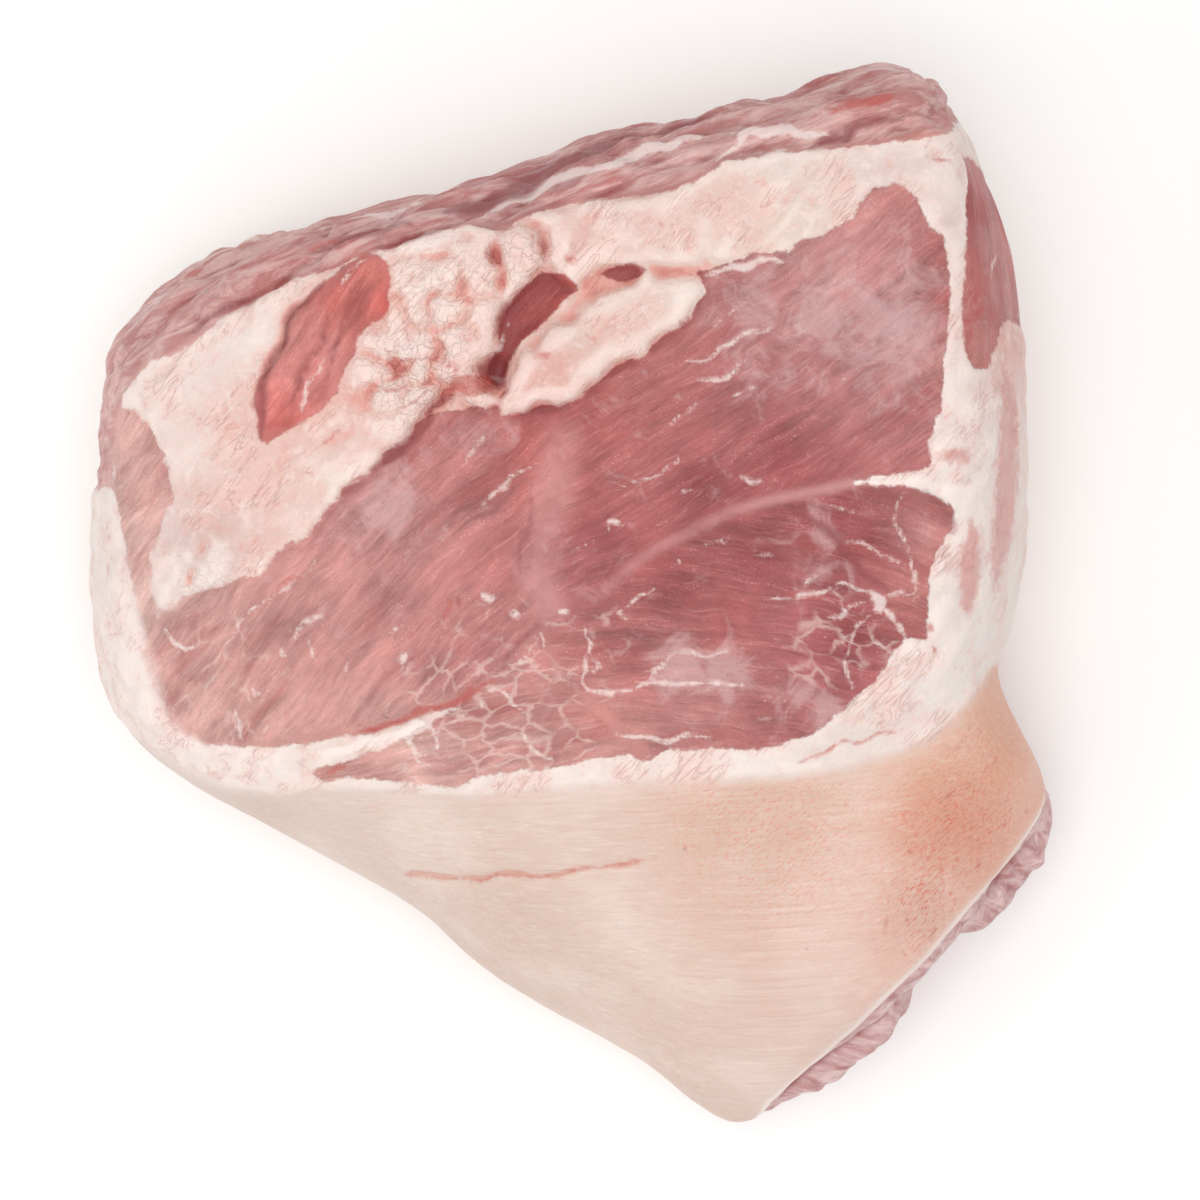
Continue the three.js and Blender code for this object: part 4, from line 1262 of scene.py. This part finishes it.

# %% [markdown]
# ### Rind
# Scalded, scraped skin is smooth and dull, with fine lines round the leg and pores a millimetre or two
# apart. Near the shank it is sore, so the pores and lines there are stained orange-red. The light side of
# the lines is a painted sheen, and the skin's hollows get painted shade.

# %% Rind
skin_cloud = add(tree, "TexNoise", Vector=mm, Scale=0.035, Detail=4.0)
paler = add(tree, "MapRange", STEP, Value=skin_cloud, From_Min=0.42, From_Max=0.66, To_Max=0.35)
unless_sore = add(tree, "MapRange", Value=stored["blush"], To_Min=1.0, To_Max=0.1)
paler = add(tree, "Math", TIMES, i0=paler, i1=unless_sore)
rind = add(tree, "Mix", COLOUR, 2, i0=paler, i6=base["rind"], i7=linear("#f0ded3"))
ring_lines = add(tree, "Mapping", AS_SIZES, Vector=mm, Rotation=(0.0, 0.0, 0.06), Scale=(45.0, 1.1, 1.8))
ring_lines = add(tree, "TexNoise", Vector=ring_lines, Scale=1.0, Detail=4.0, Roughness=0.65, Distortion=0.5)
# The light lines are a painted sheen along the wrinkles; the dark lines and mottling are the skin's own.
for value, start, full, most, tint in (
    (small_cloud, 0.5, 0.7, 0.14, "#d9af9d"),  # mottling
    (ring_lines, 0.52, 0.68, 0.24, "#cda28f"),  # dark lines
    (ring_lines, 0.48, 0.34, 0.2, "#f3e3d9"),  # light lines
):
    share = add(tree, "MapRange", STEP, Value=value, From_Min=start, From_Max=full, To_Max=most)
    rind = add(tree, "Mix", COLOUR, 2, i0=share, i6=rind, i7=linear(tint))

# %% Pores
slanted = add(tree, "Mapping", AS_SIZES, Vector=mm, Rotation=(0.0, 0.0, 0.65), Scale=(1.5, 0.55, 0.8))
pore_noise = add(tree, "TexNoise", Vector=slanted, Scale=1.0, Detail=4.0, Roughness=0.65)
pore_share = add(tree, "Math", TIMES_PLUS, i0=cloud, i1=0.25, i2=pore_noise)
pore_share = add(tree, "MapRange", STEP, Value=pore_share, From_Min=0.6, From_Max=0.82)
sore = add(tree, "MapRange", Value=stored["pores"], From_Min=0.02, From_Max=0.7, To_Max=0.85)
pore_share = add(tree, "Math", TIMES, i0=pore_share, i1=sore)
# Painted shade: the skin's hollows are darkened.
painted_skin_shade = add(tree, "MapRange", STEP, Value=stored["hollow"], From_Min=0.05, From_Max=0.4, To_Max=0.6)
for share, tint in ((pore_share, "#dd7259"), (painted_skin_shade, "#d3998a")):
    rind = add(tree, "Mix", COLOUR, 2, i0=share, i6=rind, i7=linear(tint))
pore_bump = add(tree, "Math", TIMES, i0=pore_noise, i1=stored["pores"])
rind_bump = add(tree, "Math", TIMES_PLUS, i0=ring_lines, i1=0.5, i2=pore_bump)

# %% [markdown]
# ### All on one surface
# The depths decide which of the three shows, and the marks go on top: pale threads, dark clefts with
# painted shade, red creases. The sawn end is lean again, hazed with film. Light goes a little way into the
# flesh.

# %% Mix
fat_edge = add(tree, "Math", TIMES_PLUS, i0=ragged, i1=2.4, i2=stored["fat"])
soft_edge = add(tree, "Math", TIMES_PLUS, i0=stored["left fade"], i1=4.0, i2=0.35)
hard_low = add(tree, "Math", TIMES, i0=soft_edge, i1=-1.0)
in_fat = add(tree, "MapRange", STEP, Value=fat_edge, From_Min=hard_low, From_Max=0.45)
colour = add(tree, "Mix", COLOUR, 2, i0=in_fat, i6=lean, i7=fat)
rind_edge = add(tree, "Math", TIMES_PLUS, i0=ragged, i1=1.6, i2=stored["rind"])
in_rind = add(tree, "MapRange", STEP, Value=rind_edge, From_Min=-1.8, From_Max=3.5)
colour = add(tree, "Mix", COLOUR, 2, i0=in_rind, i6=colour, i7=rind)
haze = add(tree, "MapRange", STEP, Value=film_and_sheen_share, From_Min=0.0, From_Max=0.4, To_Min=0.4, To_Max=0.9)
torn_haze = add(tree, "MapRange", Value=torn_meat, From_Min=0.36, From_Max=0.62, To_Max=0.6)
haze = add(tree, "Math", TIMES_PLUS, i0=haze, i1=0.45, i2=torn_haze)
sawn = add(tree, "Mix", COLOUR, 2, i0=haze, i6=linear("#9c4a4b"), i7=linear("#edd3cf"))
# The same painted shade darkens the hollows of the sawn end.
sawn = add(tree, "Mix", COLOUR, 2, i0=painted_hollow_shade, i6=sawn, i7=linear("#8e3f3e"))
in_cut = add(tree, "MapRange", STEP, Value=stored["cut"], From_Min=0.1, From_Max=0.7)
colour = add(tree, "Mix", COLOUR, 2, i0=in_cut, i6=colour, i7=sawn)
lip_from = add(tree, "MapRange", STEP, Value=stored["cut"], From_Min=-1.6, From_Max=-0.6, To_Max=0.75)
lip = add(tree, "Math", TIMES, i0=lip_from, i1=add(tree, "Math", MINUS, i0=1.0, i1=in_cut))
colour = add(tree, "Mix", COLOUR, 2, i0=lip, i6=colour, i7=linear("#f6e6dd"))
calmer = add(tree, "MapRange", Value=in_rind, To_Min=1.0, To_Max=0.8)
# The dark marks are dark meat, and painted shade in clefts, folds and under flaps of fat.
for name, tint, most, start, full in (
    ("pale mark", "#f2e0da", 0.7, 0.15, 1.1), ("shade and dark mark", "#8b4244", 0.72, -0.45, 1.55),
    ("red mark", "#bd5750", 0.65, 0.05, 1.15),
):
    mark_edge = add(tree, "Math", TIMES_PLUS, i0=ragged, i1=1.6, i2=stored[name])
    mark_edge = add(tree, "Math", TIMES_PLUS, i0=grain, i1=0.9, i2=mark_edge)
    share = add(tree, "MapRange", STEP, Value=mark_edge, From_Min=start, From_Max=full, To_Max=most)
    share = add(tree, "Math", TIMES, i0=share, i1=calmer)
    colour = add(tree, "Mix", COLOUR, 2, i0=share, i6=colour, i7=linear(tint))

# %% Surface
bump = add(tree, "Mix", None, 0, i0=in_fat, i2=lean_bump, i3=fat_bump)
bump = add(tree, "Mix", None, 0, i0=in_rind, i2=bump, i3=rind_bump)
normal = add(tree, "Bump", Strength=0.75, Distance=0.001, Height=bump)
damp = add(tree, "TexNoise", Vector=mm, Scale=0.12, Detail=3.0)
gloss = add(tree, "MapRange", Value=damp, From_Min=0.35, From_Max=0.65, To_Min=0.32, To_Max=0.5)
gloss = add(tree, "Mix", None, 0, i0=in_rind, i2=gloss, i3=0.52)
surface = add(
    tree, "BsdfPrincipled", Base_Color=colour, Roughness=gloss, Normal=normal, IOR=1.4,
    Subsurface_Weight=0.15, Subsurface_Radius=(1.0, 0.35, 0.2), Subsurface_Scale=0.003,
)
add(tree, "OutputMaterial", Surface=surface)
leg.data.materials.clear()
leg.data.materials.append(pork)
print("raw pork:", len(tree.nodes), "nodes")

# %% [markdown]
# ## In the frame
# The carved leg stands in for the frame's one node and rides on its one body.

# %% Ride
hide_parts("pork_leg")
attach(leg, "root")

# %% [markdown]
# ## Studio
# A white floor, a broad soft light overhead and a bright surround, as for a packshot on white. The
# camera looks straight down.

# %% Floor
HALF_FLOOR = 4  # metres


def pale_floor():
    """Matt white board, wide enough to fill any view."""
    shape = bmesh.new()
    bmesh.ops.create_grid(shape, x_segments=1, y_segments=1, size=HALF_FLOOR)
    board = bpy.data.objects.new("floor", bpy.data.meshes.new("floor"))
    shape.to_mesh(board.data)
    shape.free()
    bpy.context.scene.collection.objects.link(board)
    material = bpy.data.materials.new("white board")
    material.use_nodes = True
    paint = material.node_tree.nodes["Principled BSDF"]
    paint.inputs["Base Color"].default_value = linear("#fcfbfa")
    paint.inputs["Roughness"].default_value = 0.6
    board.data.materials.append(material)
    return board


pale_floor()

# %% Lights


def soft_light(name, place, size, power):
    """A square softbox that faces the joint."""
    lamp = bpy.data.lights.new(name, "AREA")
    lamp.size = size
    lamp.energy = power
    box = bpy.data.objects.new(name, lamp)
    box.location = place
    direction = -np.array(place)
    box.rotation_euler = (
        math.atan2(math.hypot(*direction[:2]), -direction[2]),
        0,
        math.atan2(direction[1], direction[0]) - math.pi / 2,
    )
    bpy.context.scene.collection.objects.link(box)


soft_light("overhead", (-0.05, -0.15, 1.5), 0.9, 9.0)
soft_light("left", (-1.0, -0.5, 0.9), 0.8, 2.0)
world = bpy.data.worlds.new("surround")
world.use_nodes = True
surround = world.node_tree.nodes["Background"]
surround.inputs["Color"].default_value = (1, 1, 1, 1)
surround.inputs["Strength"].default_value = 0.72
bpy.context.scene.world = world
bpy.context.scene.view_settings.view_transform = "Standard"

# %% Camera
SENSOR_MM = 36
CAMERA_HEIGHT = 1.0
FIELD_AT_FLOOR = 0.312  # width of floor that the picture takes in, in metres
VIEW_MIDDLE = (0.0065, 0.0019)  # the point of the floor at the middle of the picture
camera = bpy.data.cameras.new("overhead camera")
camera.sensor_width = SENSOR_MM
camera.lens = SENSOR_MM * CAMERA_HEIGHT / FIELD_AT_FLOOR
viewer = bpy.data.objects.new("overhead camera", camera)
viewer.location = (*VIEW_MIDDLE, CAMERA_HEIGHT)
bpy.context.scene.collection.objects.link(viewer)
bpy.context.scene.camera = viewer
